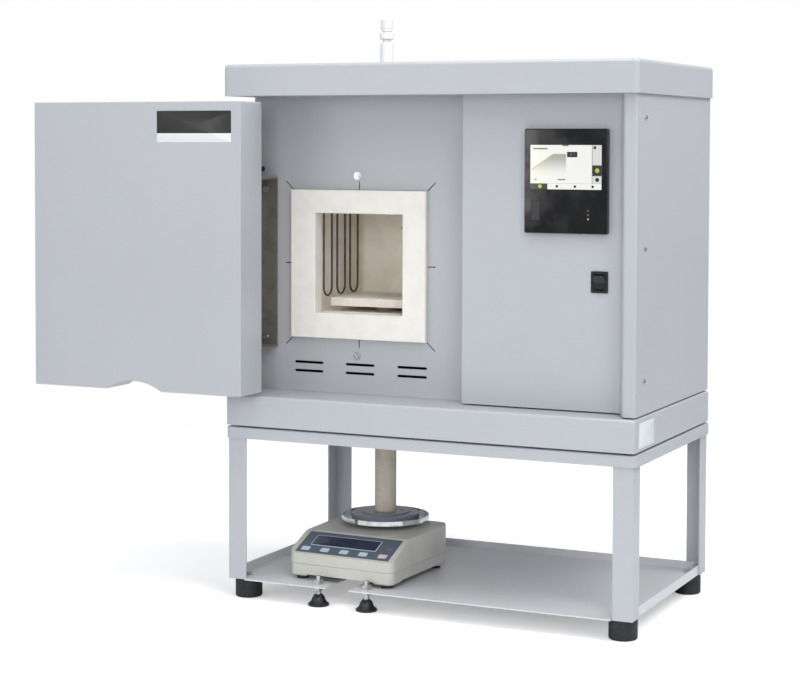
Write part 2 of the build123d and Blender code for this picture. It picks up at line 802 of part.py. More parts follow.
with BuildPart() as cable_gland:
    with BuildSketch(rear_face):
        with Locations((-gland_place[0], gland_place[1])):
            RegularPolygon(13, 6)
    extrude(amount=-6 - sheet)
    with BuildSketch(rear_face.offset(-sheet)):
        with Locations((-gland_place[0], gland_place[1])):
            Circle(14)
            Circle(8, mode=Mode.SUBTRACT)
    extrude(amount=sheet, mode=Mode.SUBTRACT)
    with BuildSketch(rear_face):
        with Locations((-gland_place[0], gland_place[1])):
            Circle(3.5)
    extrude(amount=-30, mode=Mode.SUBTRACT)
save(cable_gland, "cable_gland")

# Controller: a moulded body whose frame lies on the panel
with BuildPart() as controller_body:
    with BuildSketch(front_plane(control_y)):
        with Locations((controller_x, controller_z)):
            RectangleRounded(controller_width, controller_height, 2.5)
    extrude(amount=9)
    fillet(controller_body.faces().sort_by(Axis.Y)[0].edges(), 1.2)
    with BuildSketch(front_plane(control_y + 62)):
        with Locations((controller_x, controller_z)):
            Rectangle(115, 138)
    extrude(amount=62)
    with BuildSketch(front_plane(controller_front)):
        with Locations((controller_x, screen_z)):
            Rectangle(screen_width + 0.4, screen_height + 0.4)
        with Locations((flap_x, flap_z)):
            Rectangle(flap_width + 0.6, flap_height + 0.6)
    extrude(amount=-3.2, mode=Mode.SUBTRACT)
    with BuildSketch(front_plane(controller_front + 2)):
        with Locations((flap_x, flap_z + 2)):
            Rectangle(6, 14)
    extrude(amount=-9, mode=Mode.SUBTRACT)
    with BuildSketch(side_plane(flap_x)):
        with Locations((controller_front + flap_sheet / 2, flap_pivot_z)):
            Circle(0.7)
    extrude(amount=flap_width / 2 + 1.2, both=True, mode=Mode.SUBTRACT)
save(controller_body, "controller_body")

with BuildPart() as controller_screen:
    with BuildSketch(front_plane(controller_front + 3.2)):
        with Locations((controller_x, screen_z)):
            Rectangle(screen_width, screen_height)
    extrude(amount=2.8)
save(controller_screen, "controller_screen")

# Flap over the memory-stick port, hinged on stub pins at its lower edge
with BuildPart() as controller_flap:
    with BuildSketch(side_plane(flap_x)):
        with Locations((controller_front + flap_sheet / 2, flap_pivot_z)):
            Circle(flap_sheet / 2)
        with Locations((controller_front + flap_sheet / 2, (flap_pivot_z + flap_z + flap_height / 2) / 2)):
            Rectangle(flap_sheet, flap_z + flap_height / 2 - flap_pivot_z)
    extrude(amount=flap_width / 2, both=True)
    with BuildSketch(side_plane(flap_x)):
        with Locations((controller_front + flap_sheet / 2, flap_pivot_z)):
            Circle(0.6)
    extrude(amount=flap_width / 2 + 1, both=True)
save(controller_flap, "controller_flap")

with BuildPart() as switch_housing:
    with BuildSketch(front_plane(control_y)):
        with Locations((switch_x, switch_z)):
            RectangleRounded(25.4, 31, 1.5)
    extrude(amount=2)
    fillet(switch_housing.faces().sort_by(Axis.Y)[0].edges(), 0.8)
    with BuildSketch(front_plane(control_y + 20)):
        with Locations((switch_x, switch_z)):
            Rectangle(21, 27)
    extrude(amount=20)
    with BuildSketch(front_plane(control_y + 14)):
        with Locations((switch_x, switch_z)):
            Rectangle(17, 23)
    extrude(amount=18, mode=Mode.SUBTRACT)
    with BuildSketch(side_plane(switch_x)):
        with Locations((switch_pivot_y, switch_z)):
            Circle(1.3)
    extrude(amount=9.6, both=True, mode=Mode.SUBTRACT)
save(switch_housing, "switch_housing")

# Rocker: ends on one circle about the pivot, a shallow V in front, tilted at rest
rocker_plane = Plane(
    origin=(switch_x, switch_pivot_y, switch_z),
    x_dir=(0, cos(radians(switch_tilt)), sin(radians(switch_tilt))),
    z_dir=(1, 0, 0),
)
with BuildPart() as switch_rocker:
    with BuildSketch(rocker_plane):
        with BuildLine():
            Polyline((-6.8, 12), (-4.8, 0), (-6.8, -12), (5, -12), (5, 12), (-6.8, 12))
        make_face()
        Circle(rocker_radius, mode=Mode.INTERSECT)
    extrude(amount=8.2, both=True)
    with BuildSketch(rocker_plane):
        Circle(1.2)
    extrude(amount=9.4, both=True)
save(switch_rocker, "switch_rocker")

# ---------------------------------------------------------------------------
# Door linkage: bracket on the recess panel, pin, swing arm, guide link, sensor
# ---------------------------------------------------------------------------
bracket_left = -321.0
bracket_right = -282.0
bracket_front = arm_axis[1] - 14.0
bracket_mid_x = (bracket_left + bracket_right) / 2
with BuildPart() as hinge_bracket:
    with BuildSketch(Plane.XY.offset(bracket_low)):
        with Locations((bracket_mid_x, (bracket_front + recess_y) / 2)):
            Rectangle(bracket_right - bracket_left, recess_y - bracket_front)
    extrude(amount=bracket_high - bracket_low)
    fillet(hinge_bracket.edges().filter_by(Axis.Z).group_by(Axis.Y)[0], 8)
    with BuildSketch(Plane.XY.offset(bracket_low + flange)):
        with Locations((bracket_mid_x, (bracket_front - 10 + recess_y - flange) / 2)):
            Rectangle(60, recess_y - flange - bracket_front + 10)
    extrude(amount=bracket_high - bracket_low - 2 * flange, mode=Mode.SUBTRACT)
    with BuildSketch(Plane.XY.offset(bracket_low)):
        with Locations(arm_axis):
            Circle(pin_radius + running_gap)
    extrude(amount=bracket_high - bracket_low, mode=Mode.SUBTRACT)
    with BuildSketch(front_plane(recess_y)):
        with Locations(*bracket_screws):
            Circle(screw_hole)
    extrude(amount=flange, mode=Mode.SUBTRACT)
    # stud of the guide link on the upper flange
    with BuildSketch(axis_plane(*link_axis)):
        with BuildLine():
            Polyline(
                (0, bracket_high), (5, bracket_high), (5, link_z - 0.2), (link_pin_radius, link_z - 0.2),
                (link_pin_radius, link_z + 8), (0, link_z + 8), (0, bracket_high),
            )
        make_face()
    revolve(axis=vertical_axis(*link_axis))
save(hinge_bracket, "hinge_bracket")

with BuildPart() as hinge_pin:
    with BuildSketch(Plane.XY.offset(bracket_low - 3)):
        with Locations(arm_axis):
            Circle(pin_radius)
    extrude(amount=bracket_high - bracket_low + 6)
    with BuildSketch(Plane.XY.offset(bracket_high)):
        with Locations(arm_axis):
            Circle(7)
    extrude(amount=2.5)
    with BuildSketch(Plane.XY.offset(bracket_low)):
        with Locations(arm_axis):
            RegularPolygon(7, 6)
    extrude(amount=-3)
save(hinge_pin, "hinge_pin")

# Two flat arms on one tube; seen in plan each is a slot from axis to axis
arm_heading = degrees(atan2(door_axis[1] - arm_axis[1], door_axis[0] - arm_axis[0]))
arm_middle = ((arm_axis[0] + door_axis[0]) / 2, (arm_axis[1] + door_axis[1]) / 2)
with BuildPart() as swing_arm:
    for level in (arm_low, arm_high):
        with BuildSketch(Plane.XY.offset(level)):
            with Locations(Location(arm_middle, arm_heading)):
                SlotCenterToCenter(arm_length, arm_width)
        extrude(amount=arm_sheet)
    with BuildSketch(Plane.XY.offset(arm_low)):
        with Locations(arm_axis):
            Circle(9)
    extrude(amount=arm_high - arm_low)
    # thrust rings towards the bracket's flanges
    with BuildSketch(Plane.XY.offset(bracket_low + flange + 0.2)):
        with Locations(arm_axis):
            Circle(8)
    extrude(amount=bracket_high - bracket_low - 2 * flange - 0.4)
    with BuildSketch(Plane.XY.offset(bracket_low)):
        with Locations(arm_axis, door_axis):
            Circle(pin_radius + running_gap)
    extrude(amount=bracket_high - bracket_low, mode=Mode.SUBTRACT)
save(swing_arm, "swing_arm")

with BuildPart() as guide_link:
    with BuildSketch(Plane.XY.offset(link_z)):
        with Locations(
            Location(((link_axis[0] + link_door_axis[0]) / 2, (link_axis[1] + link_door_axis[1]) / 2), arm_heading)
        ):
            SlotCenterToCenter(arm_length, 13)
        with Locations(link_axis):
            Circle(link_pin_radius + running_gap, mode=Mode.SUBTRACT)
        with Locations(link_door_axis):
            Circle(link_pin_radius + 0.6, mode=Mode.SUBTRACT)
    extrude(amount=link_sheet)
save(guide_link, "guide_link")

with BuildPart() as door_sensor:
    with BuildSketch(front_plane(recess_y + 11)):
        with Locations(sensor_place):
            Circle(4)
    extrude(amount=22)
    fillet(door_sensor.faces().sort_by(Axis.Y)[0].edges(), 0.8)
save(door_sensor, "door_sensor")

# ---------------------------------------------------------------------------
# Door: shell with a grip, rear cover, insulating plug, hinge lugs
# ---------------------------------------------------------------------------
grip_x = door_mid_x - 4
with BuildPart() as door_hollow:
    with BuildSketch(front_plane(door_back)):
        with Locations((door_mid_x, door_mid_z)):
            RectangleRounded(door_width - 2 * door_sheet, door_height - 2 * door_sheet, 1)
        with Locations((grip_x, door_low - grip_radius + grip_rise)):
            Circle(grip_radius + door_sheet, mode=Mode.SUBTRACT)
    extrude(amount=door_depth - door_sheet)

with BuildPart() as door_shell:
    with BuildSketch(front_plane(door_back)):
        with Locations((door_mid_x, door_mid_z)):
            RectangleRounded(door_width, door_height, 2.5)
        with Locations((grip_x, door_low - grip_radius + grip_rise)):
            Circle(grip_radius, mode=Mode.SUBTRACT)
    extrude(amount=door_depth)
    fillet(door_shell.faces().sort_by(Axis.Y)[0].edges(), 1.4)
    # shallow seat of the name plate
    with BuildSketch(front_plane(door_front + label_seat)):
        with Locations((door_left + 286.9, door_low + 400.5)):
            Rectangle(label_width, label_height)
    extrude(amount=label_seat, mode=Mode.SUBTRACT)
    add(door_hollow.part, mode=Mode.SUBTRACT)
save(door_shell, "door_shell")

# The cover leaves a bay for the bracket, the arms and the plug
bay_left = door_axis[0] - 130.0
bay_right = plug_x + block_half + 0.5
bay_low = bracket_low - 7.0
bay_high = link_z + link_sheet + 8.0
cover_right = door_left + door_width - door_sheet - 0.4
cover_low = door_low + door_sheet + grip_rise + 1
cover_high = door_low + door_height - door_sheet - 0.4
with BuildPart() as door_rear_cover:
    with BuildSketch(front_plane(door_back)):
        with Locations(((bay_left + cover_right) / 2, (cover_low + cover_high) / 2)):
            Rectangle(cover_right - bay_left, cover_high - cover_low)
        with Locations(((bay_left + bay_right) / 2, (bay_low + bay_high) / 2)):
            Rectangle(bay_right - bay_left, bay_high - bay_low, mode=Mode.SUBTRACT)
    extrude(amount=door_sheet)
save(door_rear_cover, "door_rear_cover")

plug_size = (collar_width - 4, collar_height - 1)
with BuildPart() as door_plug:
    with BuildSketch(front_plane(plug_back)):
        with Locations((plug_x, chamber_z)):
            Rectangle(*plug_size)
    extrude(amount=plug_back - door_front - door_sheet)
    # raised centre that enters the collar's opening
    with BuildSketch(front_plane(plug_back + 10)):
        with Locations((plug_x, chamber_z)):
            Rectangle(chamber - 12, chamber - 12)
    extrude(amount=15)
save(door_plug, "door_plug")

skin_y = door_front + door_sheet
lug_half = 14.0
lug_sheet = 4.0
lug_left = door_axis[0] - 26.0
lug_right = door_axis[0] + lug_half
lug_mid_x = (lug_left + lug_right) / 2
lug_back = door_axis[1] + 11.0
upper_lug = arm_high + arm_sheet + 3
lower_lug = arm_low - 3 - lug_sheet
with BuildPart() as door_hinge_lugs:
    for level, plate_mid in ((upper_lug, upper_lug + 14), (lower_lug, lower_lug - 10)):
        with BuildSketch(Plane.XY.offset(level)):
            with Locations((lug_mid_x, (skin_y + lug_back) / 2)):
                Rectangle(lug_right - lug_left, lug_back - skin_y)
        extrude(amount=lug_sheet)
        with BuildSketch(front_plane(skin_y + 3)):
            with Locations((lug_mid_x, plate_mid)):
                Rectangle(lug_right - lug_left, 28)
        extrude(amount=3)
    # pins with thrust collars, through the ends of the arms
    with BuildSketch(axis_plane(*door_axis)):
        with BuildLine():
            Polyline(
                (0, upper_lug), (8, upper_lug), (8, arm_high + arm_sheet + 0.2), (pin_radius, arm_high + arm_sheet + 0.2),
                (pin_radius, arm_high - 2), (0, arm_high - 2), (0, upper_lug),
            )
        make_face()
        with BuildLine():
            Polyline(
                (0, arm_low - 3), (8, arm_low - 3), (8, arm_low - 0.2), (pin_radius, arm_low - 0.2),
                (pin_radius, arm_low + arm_sheet + 2), (0, arm_low + arm_sheet + 2), (0, arm_low - 3),
            )
        make_face()
    revolve(axis=vertical_axis(*door_axis))
    with BuildSketch(Plane.XY.offset(upper_lug + lug_sheet)):
        with Locations(link_door_axis):
            Circle(link_pin_radius)
    extrude(amount=link_z + 8 - upper_lug - lug_sheet)
save(door_hinge_lugs, "door_hinge_lugs")

# ---------------------------------------------------------------------------
# Balance on the tray
# ---------------------------------------------------------------------------
turn = radians(balance_turn)


def balance_point(x, y):
    """Turn a point of the balance's own plan into the furnace's plan."""
    return balance_x + x * cos(turn) - y * sin(turn), balance_y + x * sin(turn) + y * cos(turn)


def balance_plane(z):
    """Level plane of the balance at height z, its local x along its own width."""
    return Plane(origin=(balance_x, balance_y, z), x_dir=(cos(turn), sin(turn), 0), z_dir=(0, 0, 1))


balance_side = Plane(origin=(balance_x, balance_y, 0), x_dir=(-sin(turn), cos(turn), 0),
                     z_dir=(cos(turn), sin(turn), 0))
pan_dx = chamber_x - balance_x
pan_dy = chamber_y - balance_y
pan_place = (pan_dx * cos(turn) + pan_dy * sin(turn), -pan_dx * sin(turn) + pan_dy * cos(turn))
slope_length = hypot(slope_end - slope_start, balance_top_front - balance_brow)
slope_cos = (slope_end - slope_start) / slope_length
slope_sin = (balance_top_front - balance_brow) / slope_length
slope_middle = balance_point(0, (slope_start + slope_end) / 2)
# plane of the sloping face: local x along the width, local y up the slope, normal outwards
slope_plane = Plane(
    origin=(*slope_middle, (balance_brow + balance_top_front) / 2),
    x_dir=(cos(turn), sin(turn), 0),
    z_dir=(slope_sin * sin(turn), -slope_sin * cos(turn), slope_cos),
)
key_places = [(key_pitch * i, key_offset) for i in (-2, -1, 0, 1, 2)]
key_names = ["key_on_off", "key_print", "key_unit", "key_count", "key_tare"]

with BuildPart() as balance_feet:
    with BuildSketch(balance_plane(tray_top)):
        with GridLocations(146, 158, 2, 2):
            Circle(9)
    extrude(amount=balance_bottom - balance_pocket - tray_top)
    fillet(balance_feet.edges().group_by(Axis.Z)[0], 1.2)
save(balance_feet, "balance_feet")

with BuildPart() as balance_lower_shell:
    with BuildSketch(balance_plane(balance_bottom)):
        RectangleRounded(balance_width - 0.6, balance_depth - 0.6, 12)
    extrude(amount=balance_seam - balance_bottom)
    chamfer(balance_lower_shell.edges().group_by(Axis.Z)[-1], 1)
    # the corners reach lower and hold the feet
    with BuildSketch(balance_plane(balance_bottom)):
        RectangleRounded(balance_width - 0.6, balance_depth - 0.6, 12)
        Rectangle(balance_width - 2 * balance_corner, balance_depth, mode=Mode.SUBTRACT)
        Rectangle(balance_width, balance_depth - 2 * balance_corner, mode=Mode.SUBTRACT)
    extrude(amount=-balance_pocket)
    chamfer(balance_lower_shell.edges().group_by(Axis.Z)[0], 2.5)
    with BuildSketch(balance_plane(balance_bottom + balance_wall)):
        RectangleRounded(balance_width - 7, balance_depth - 7, 9)
    extrude(amount=balance_seam, mode=Mode.SUBTRACT)
save(balance_lower_shell, "balance_lower_shell")


def upper_profile(inset):
    """Side outline of the upper shell, moved inwards by inset, as a list of points."""
    half = balance_depth / 2 - inset
    return [
        (-half, balance_seam), (-half, balance_brow - inset), (slope_end, balance_top_front - inset),
        (half, balance_top_back - inset), (half, balance_seam), (-half, balance_seam),
    ]


with BuildPart() as balance_hollow:
    with BuildSketch(balance_side):
        with BuildLine():
            Polyline(*upper_profile(balance_wall))
        make_face()
    extrude(amount=balance_width / 2 - balance_wall, both=True)
    fillet(balance_hollow.edges().filter_by(Axis.Z), 9.5)

with BuildPart() as balance_upper_shell:
    with BuildSketch(balance_side):
        with BuildLine():
            Polyline(*upper_profile(0))
        make_face()
    extrude(amount=balance_width / 2, both=True)
    fillet(balance_upper_shell.edges().filter_by(Axis.Z), 12)
    fillet(balance_upper_shell.faces().filter_by(GeomType.PLANE).sort_by(Axis.Z)[-1].edges(), 2.5)
    add(balance_hollow.part, mode=Mode.SUBTRACT)
    with BuildSketch(slope_plane):
        Rectangle(foil_width + 0.6, foil_height + 0.6)
    extrude(amount=-foil_sheet, mode=Mode.SUBTRACT)
    with BuildSketch(slope_plane):
        with Locations(*key_places):
            Rectangle(key_width + 0.6, key_height + 0.6)
    extrude(amount=-6, mode=Mode.SUBTRACT)
    with BuildSketch(balance_plane(balance_top_back + 2)):
        with Locations(pan_place):
            Circle(12)
    extrude(amount=-12, mode=Mode.SUBTRACT)
save(balance_upper_shell, "balance_upper_shell")

with BuildPart() as balance_foil:
    with BuildSketch(slope_plane.offset(-foil_sheet)):
        RectangleRounded(foil_width, foil_height, 2)
        with Locations(*key_places):
            Rectangle(key_width + 0.6, key_height + 0.6, mode=Mode.SUBTRACT)
    extrude(amount=foil_sheet)
save(balance_foil, "balance_foil")


def balance_key(place):
    """Key that stands a little out of the foil and sinks into it when pressed."""
    with BuildPart() as piece:
        with BuildSketch(slope_plane.offset(key_rise)):
            with Locations(place):
                RectangleRounded(key_width, key_height, 1)
        extrude(amount=-key_depth)
    return piece


for place, name in zip(key_places, key_names):
    save(balance_key(place), name)

with BuildPart() as load_cell:
    with BuildSketch(balance_plane(balance_bottom + balance_wall)):
        with Locations(pan_place):
            with Locations((0, -30)):
                Rectangle(26, 24)
    extrude(amount=16)
    with BuildSketch(balance_plane(balance_bottom + balance_wall + 16)):
        with Locations(pan_place):
            with Locations((0, -15)):
                Rectangle(26, 54)
    extrude(amount=20)
save(load_cell, "load_cell")

# Weighing column: pan, adapter, ceramic tube, sample plate
post_low = balance_bottom + balance_wall + 16 + 20 + 0.8
with BuildPart() as weighing_pan:
    with BuildSketch(axis_plane(chamber_x, chamber_y)):
        with BuildLine():
            Polyline(
                (0, post_low), (6, post_low), (6, pan_bottom), (pan_radius - 1, pan_bottom),
                (pan_radius, pan_bottom + 1), (pan_radius, pan_bottom + pan_rim - 0.6),
                (pan_radius - 0.6, pan_bottom + pan_rim), (pan_radius - 1.4, pan_bottom + pan_rim),
                (pan_radius - 2, pan_bottom + pan_rim - 0.6), (pan_radius - 2, pan_bottom + 2),
                (0, pan_bottom + 2), (0, post_low),
            )
        make_face()
    revolve(axis=vertical_axis(chamber_x, chamber_y))
save(weighing_pan, "weighing_pan")

adapter_low = pan_bottom + 2
adapter_top = 120.0
with BuildPart() as adapter_disc:
    with BuildSketch(axis_plane(chamber_x, chamber_y)):
        with BuildLine():
            Polyline(
                (0, adapter_low), (51.5, adapter_low), (53, 109.5), (53, 116), (51, 118), (38.5, 118),
                (38.5, 119), (37.5, adapter_top), (0, adapter_top), (0, adapter_low),
            )
        make_face()
    revolve(axis=vertical_axis(chamber_x, chamber_y))
    with BuildSketch(Plane.XY.offset(adapter_top)):
        with Locations((chamber_x, chamber_y)):
            with PolarLocations(25, 3, start_angle=20):
                Circle(3.2)
    extrude(amount=-3, mode=Mode.SUBTRACT)
save(adapter_disc, "adapter_disc")

with BuildPart() as support_tube:
    with BuildSketch(Plane.XY.offset(adapter_top)):
        with Locations((chamber_x, chamber_y)):
            Circle(tube_radius)
            Circle(tube_bore, mode=Mode.SUBTRACT)
    extrude(amount=plate_bottom - adapter_top)
save(support_tube, "support_tube")

with BuildPart() as sample_plate:
    with BuildSketch(Plane.XY.offset(plate_bottom)):
        with Locations((chamber_x, chamber_y)):
            RectangleRounded(plate_size, plate_size, 3)
    extrude(amount=plate_top - plate_bottom)
    chamfer(sample_plate.edges().group_by(Axis.Z)[-1], 1)
save(sample_plate, "sample_plate")
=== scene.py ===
"""Looks of a weighing muffle furnace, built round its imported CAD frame, in metres."""

import logging
import math
from dataclasses import dataclass
from enum import Enum
from typing import Any, Sequence

import bpy
import numpy as np
from mathutils import Matrix, Vector


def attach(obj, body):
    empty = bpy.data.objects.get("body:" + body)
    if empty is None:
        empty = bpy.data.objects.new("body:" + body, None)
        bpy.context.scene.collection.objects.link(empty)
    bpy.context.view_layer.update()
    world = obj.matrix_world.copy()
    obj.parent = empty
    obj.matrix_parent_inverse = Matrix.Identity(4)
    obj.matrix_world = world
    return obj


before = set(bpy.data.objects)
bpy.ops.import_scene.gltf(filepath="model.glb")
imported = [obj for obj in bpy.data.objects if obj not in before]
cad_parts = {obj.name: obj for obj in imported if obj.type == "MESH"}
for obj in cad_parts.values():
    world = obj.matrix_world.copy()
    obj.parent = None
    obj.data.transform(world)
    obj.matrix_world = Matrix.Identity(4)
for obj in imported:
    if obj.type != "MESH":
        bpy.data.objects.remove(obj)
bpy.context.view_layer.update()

LOG = logging.getLogger("furnace")
MM = 0.001
IMAGE_WIDTH = 800
IMAGE_HEIGHT = 687
SENSOR = 36.0

Number = float | int
Triple = tuple[float, float, float]


class Body(Enum):
    """The moving bodies that pieces ride on."""

    FURNACE = "furnace"
    DOOR = "door"
    COLUMN = "weighing_column"


# ---------------------------------------------------------------------------
# Shader graphs
# ---------------------------------------------------------------------------
def linear(code: str) -> tuple[float, float, float, float]:
    """Turn a colour code into the linear values that shaders use.

    Args:
        code: six hexadecimal digits of an sRGB colour.

    Returns:
        Linear red, green and blue with an alpha of one.
    """
    values = np.array([int(code[i:i + 2], 16) for i in (0, 2, 4)]) / 255
    low = values / 12.92
    high = ((values + 0.055) / 1.055) ** 2.4
    return (*np.where(values <= 0.04045, low, high).tolist(), 1.0)


class Value:
    """A socket of a shader graph that takes part in Python arithmetic."""

    def __init__(self, graph: "Graph", socket: bpy.types.NodeSocket) -> None:
        """Hold the graph and the socket that gives the value."""
        self.graph = graph
        self.socket = socket

    def _math(self, operation: str, *others: "Value | Number", swap: bool = False) -> "Value":
        """Add a Math node.

        Args:
            operation: the Math node's operation.
            others: the remaining operands.
            swap: put this value after the other one.

        Returns:
            The node's result.
        """
        terms = [self, *others]
        if swap:
            terms.reverse()
        node = self.graph.node("ShaderNodeMath", {"operation": operation}, dict(enumerate(terms)))
        return Value(self.graph, node.outputs[0])

    def __add__(self, other: "Value | Number") -> "Value":
        """Sum."""
        return self._math("ADD", other)

    __radd__ = __add__

    def __sub__(self, other: "Value | Number") -> "Value":
        """Difference."""
        return self._math("SUBTRACT", other)

    def __rsub__(self, other: "Value | Number") -> "Value":
        """Difference, with this value taken off."""
        return self._math("SUBTRACT", other, swap=True)

    def __mul__(self, other: "Value | Number") -> "Value":
        """Product."""
        return self._math("MULTIPLY", other)

    __rmul__ = __mul__

    def __truediv__(self, other: "Value | Number") -> "Value":
        """Quotient."""
        return self._math("DIVIDE", other)

    def __lt__(self, other: "Value | Number") -> "Value":
        """One where this value is the smaller."""
        return self._math("LESS_THAN", other)

    def __gt__(self, other: "Value | Number") -> "Value":
        """One where this value is the larger."""
        return self._math("GREATER_THAN", other)

    def __abs__(self) -> "Value":
        """Size without sign."""
        return self._math("ABSOLUTE")

    def minimum(self, other: "Value | Number") -> "Value":
        """The smaller of two values."""
        return self._math("MINIMUM", other)

    def ramp(self, low: float, high: float, start: float = 0.0, end: float = 1.0) -> "Value":
        """Map a range to another one, smoothly and clamped.

        Args:
            low: value that gives start.
            high: value that gives end.
            start: result at low.
            end: result at high.

        Returns:
            The mapped value.
        """
        node = self.graph.node(
            "ShaderNodeMapRange", {"interpolation_type": "SMOOTHSTEP"},
            {"Value": self, "From Min": low, "From Max": high, "To Min": start, "To Max": end},
        )
        return Value(self.graph, node.outputs[0])


class Graph:
    """The node tree of one material."""

    def __init__(self, name: str) -> None:
        """Make an empty material of that name."""
        self.material = bpy.data.materials.new(name)
        self.material.use_nodes = True
        self.tree = self.material.node_tree
        self.tree.nodes.clear()

    def node(self, kind: str, settings: dict[str, Any] | None = None,
             inputs: dict[Any, Any] | None = None) -> bpy.types.Node:
        """Add any node.

        Args:
            kind: the node's type name.
            settings: attributes set before the inputs.
            inputs: input names or numbers with the values or links that they take.

        Returns:
            The new node.
        """
        node = self.tree.nodes.new(kind)
        for key, value in (settings or {}).items():
            setattr(node, key, value)
        for key, value in (inputs or {}).items():
            if isinstance(value, Value):
                self.tree.links.new(value.socket, node.inputs[key])
            else:
                node.inputs[key].default_value = value
        return node

    def place(self) -> Value:
        """The point in the frame, in metres."""
        return Value(self, self.node("ShaderNodeTexCoord").outputs["Object"])

    def axes(self) -> tuple[Value, Value, Value]:
        """The point's three coordinates as numbers."""
        split = self.node("ShaderNodeSeparateXYZ", inputs={0: self.place()})
        return tuple(Value(self, split.outputs[i]) for i in range(3))

    def stretched(self, scale: Triple) -> Value:
        """The point with each coordinate multiplied by its own scale."""
        node = self.node("ShaderNodeMapping", inputs={"Vector": self.place(), "Scale": scale})
        return Value(self, node.outputs[0])

    def noise(self, scale: float, detail: float = 3.0, rough: float = 0.5,
              at: Value | None = None) -> Value:
        """Cloudy noise from 0 to 1.

        Args:
            scale: lumps per metre.
            detail: number of finer layers.
            rough: strength of the finer layers.
            at: the coordinates, or None for the point in the frame.

        Returns:
            The noise's value.
        """
        inputs = {"Vector": at or self.place(), "Scale": scale, "Detail": detail, "Roughness": rough}
        return Value(self, self.node("ShaderNodeTexNoise", inputs=inputs).outputs[0])

    def dashes(self, across: Value, up: Value, low: float, high: float, level: float,
               height: float) -> Value:
        """A row of small uneven bars that stands for a line of small print.

        Args:
            across: coordinate along the row.
            up: coordinate across the row.
            low: start of the row.
            high: end of the row.
            level: middle of the row.
            height: height of the bars.

        Returns:
            One on the bars.
        """
        gaps = self.noise(95.0, 0.0, 0.0) > 0.42
        along = self.inside(across, low, high)
        band = self.inside(up, level - height / 2, level + height / 2)
        return along * band * gaps

    def inside(self, value: Value, low: float, high: float) -> Value:
        """One where a value lies between two bounds."""
        return (value > low) * (value < high)

    def window(self, across: Value, up: Value, box: tuple[float, float, float, float]) -> Value:
        """One inside a box.

        Args:
            across: first coordinate.
            up: second coordinate.
            box: low and high bounds of the first coordinate, then of the second.

        Returns:
            One inside and zero outside.
        """
        return self.inside(across, box[0], box[1]) * self.inside(up, box[2], box[3])

    def cells(self, scale: float) -> Value:
        """Distance to the nearest point of a random scatter, in cells."""
        node = self.node("ShaderNodeTexVoronoi", inputs={"Vector": self.place(), "Scale": scale})
        return Value(self, node.outputs["Distance"])

    def mix(self, mask: Value, first: Any, second: Any) -> Value:
        """Blend two colours.

        Args:
            mask: 0 for the first and 1 for the second.
            first: colour or link.
            second: colour or link.

        Returns:
            The blended colour.
        """
        node = self.node("ShaderNodeMix", {"data_type": "RGBA"}, {0: mask, 6: first, 7: second})
        return Value(self, node.outputs[2])

    def bump(self, height: Value, distance: float, strength: float = 1.0) -> Value:
        """Turn a height from 0 to 1 into a normal.

        Args:
            height: the height field.
            distance: height that 1 stands for, in metres.
            strength: how much of the effect is used.

        Returns:
            The normal.
        """
        inputs = {"Height": height, "Distance": distance, "Strength": strength}
        node = self.node("ShaderNodeBump", inputs=inputs)
        return Value(self, node.outputs[0])

    def finish(self, **inputs: Any) -> bpy.types.Material:
        """Add the surface shader and the output.

        Args:
            inputs: shader inputs, with underscores for the spaces in their names.

        Returns:
            The finished material.
        """
        named = {key.replace("_", " "): value for key, value in inputs.items()}
        shader = self.node("ShaderNodeBsdfPrincipled", inputs=named)
        self.node("ShaderNodeOutputMaterial", inputs={"Surface": Value(self, shader.outputs[0])})
        return self.material


# ---------------------------------------------------------------------------
# Finishes
# ---------------------------------------------------------------------------
@dataclass(frozen=True)
class PowderCoat:
    """Baked powder paint: a fine orange peel, faint clouds and a soft gloss."""

    name: str
    colour: str
    roughness: float = 0.42
    peel: float = 0.000007

    def make(self) -> bpy.types.Material:
        """Build the material."""
        g = Graph(self.name)
        base = linear(self.colour)
        darker = tuple(0.98 * c for c in base[:3]) + (1.0,)
        clouds = g.noise(5.0, 4.0).ramp(0.35, 0.65)
        peel = g.noise(1500.0, 2.0) * 0.7 + g.noise(420.0, 1.0) * 0.3
        smudge = g.noise(14.0, 5.0, 0.6).ramp(0.3, 0.8, self.roughness - 0.01, self.roughness + 0.02)
        return g.finish(
            Base_Color=g.mix(clouds, base, darker), Roughness=smudge,
            Normal=g.bump(peel, self.peel), IOR=1.5,
        )


@dataclass(frozen=True)
class BrushedSteel:
    """Bare steel with fine lines along one axis and faint stains."""

    name: str
    colour: str
    roughness: float = 0.36
    grain: Triple = (1.0, 1.0, 60.0)

    def make(self) -> bpy.types.Material:
        """Build the material."""
        g = Graph(self.name)
        base = linear(self.colour)
        worn = tuple(0.72 * c for c in base[:3]) + (1.0,)
        lines = g.noise(900.0, 3.0, 0.6, g.stretched(tuple(1 / s for s in self.grain)))
        stains = g.noise(28.0, 5.0, 0.62).ramp(0.42, 0.7)
        rough = lines.ramp(0.3, 0.7, self.roughness - 0.07, self.roughness + 0.1) + stains * 0.08
        return g.finish(
            Base_Color=g.mix(stains, base, worn), Metallic=1.0, Roughness=rough,
            Normal=g.bump(lines, 0.000012),
        )


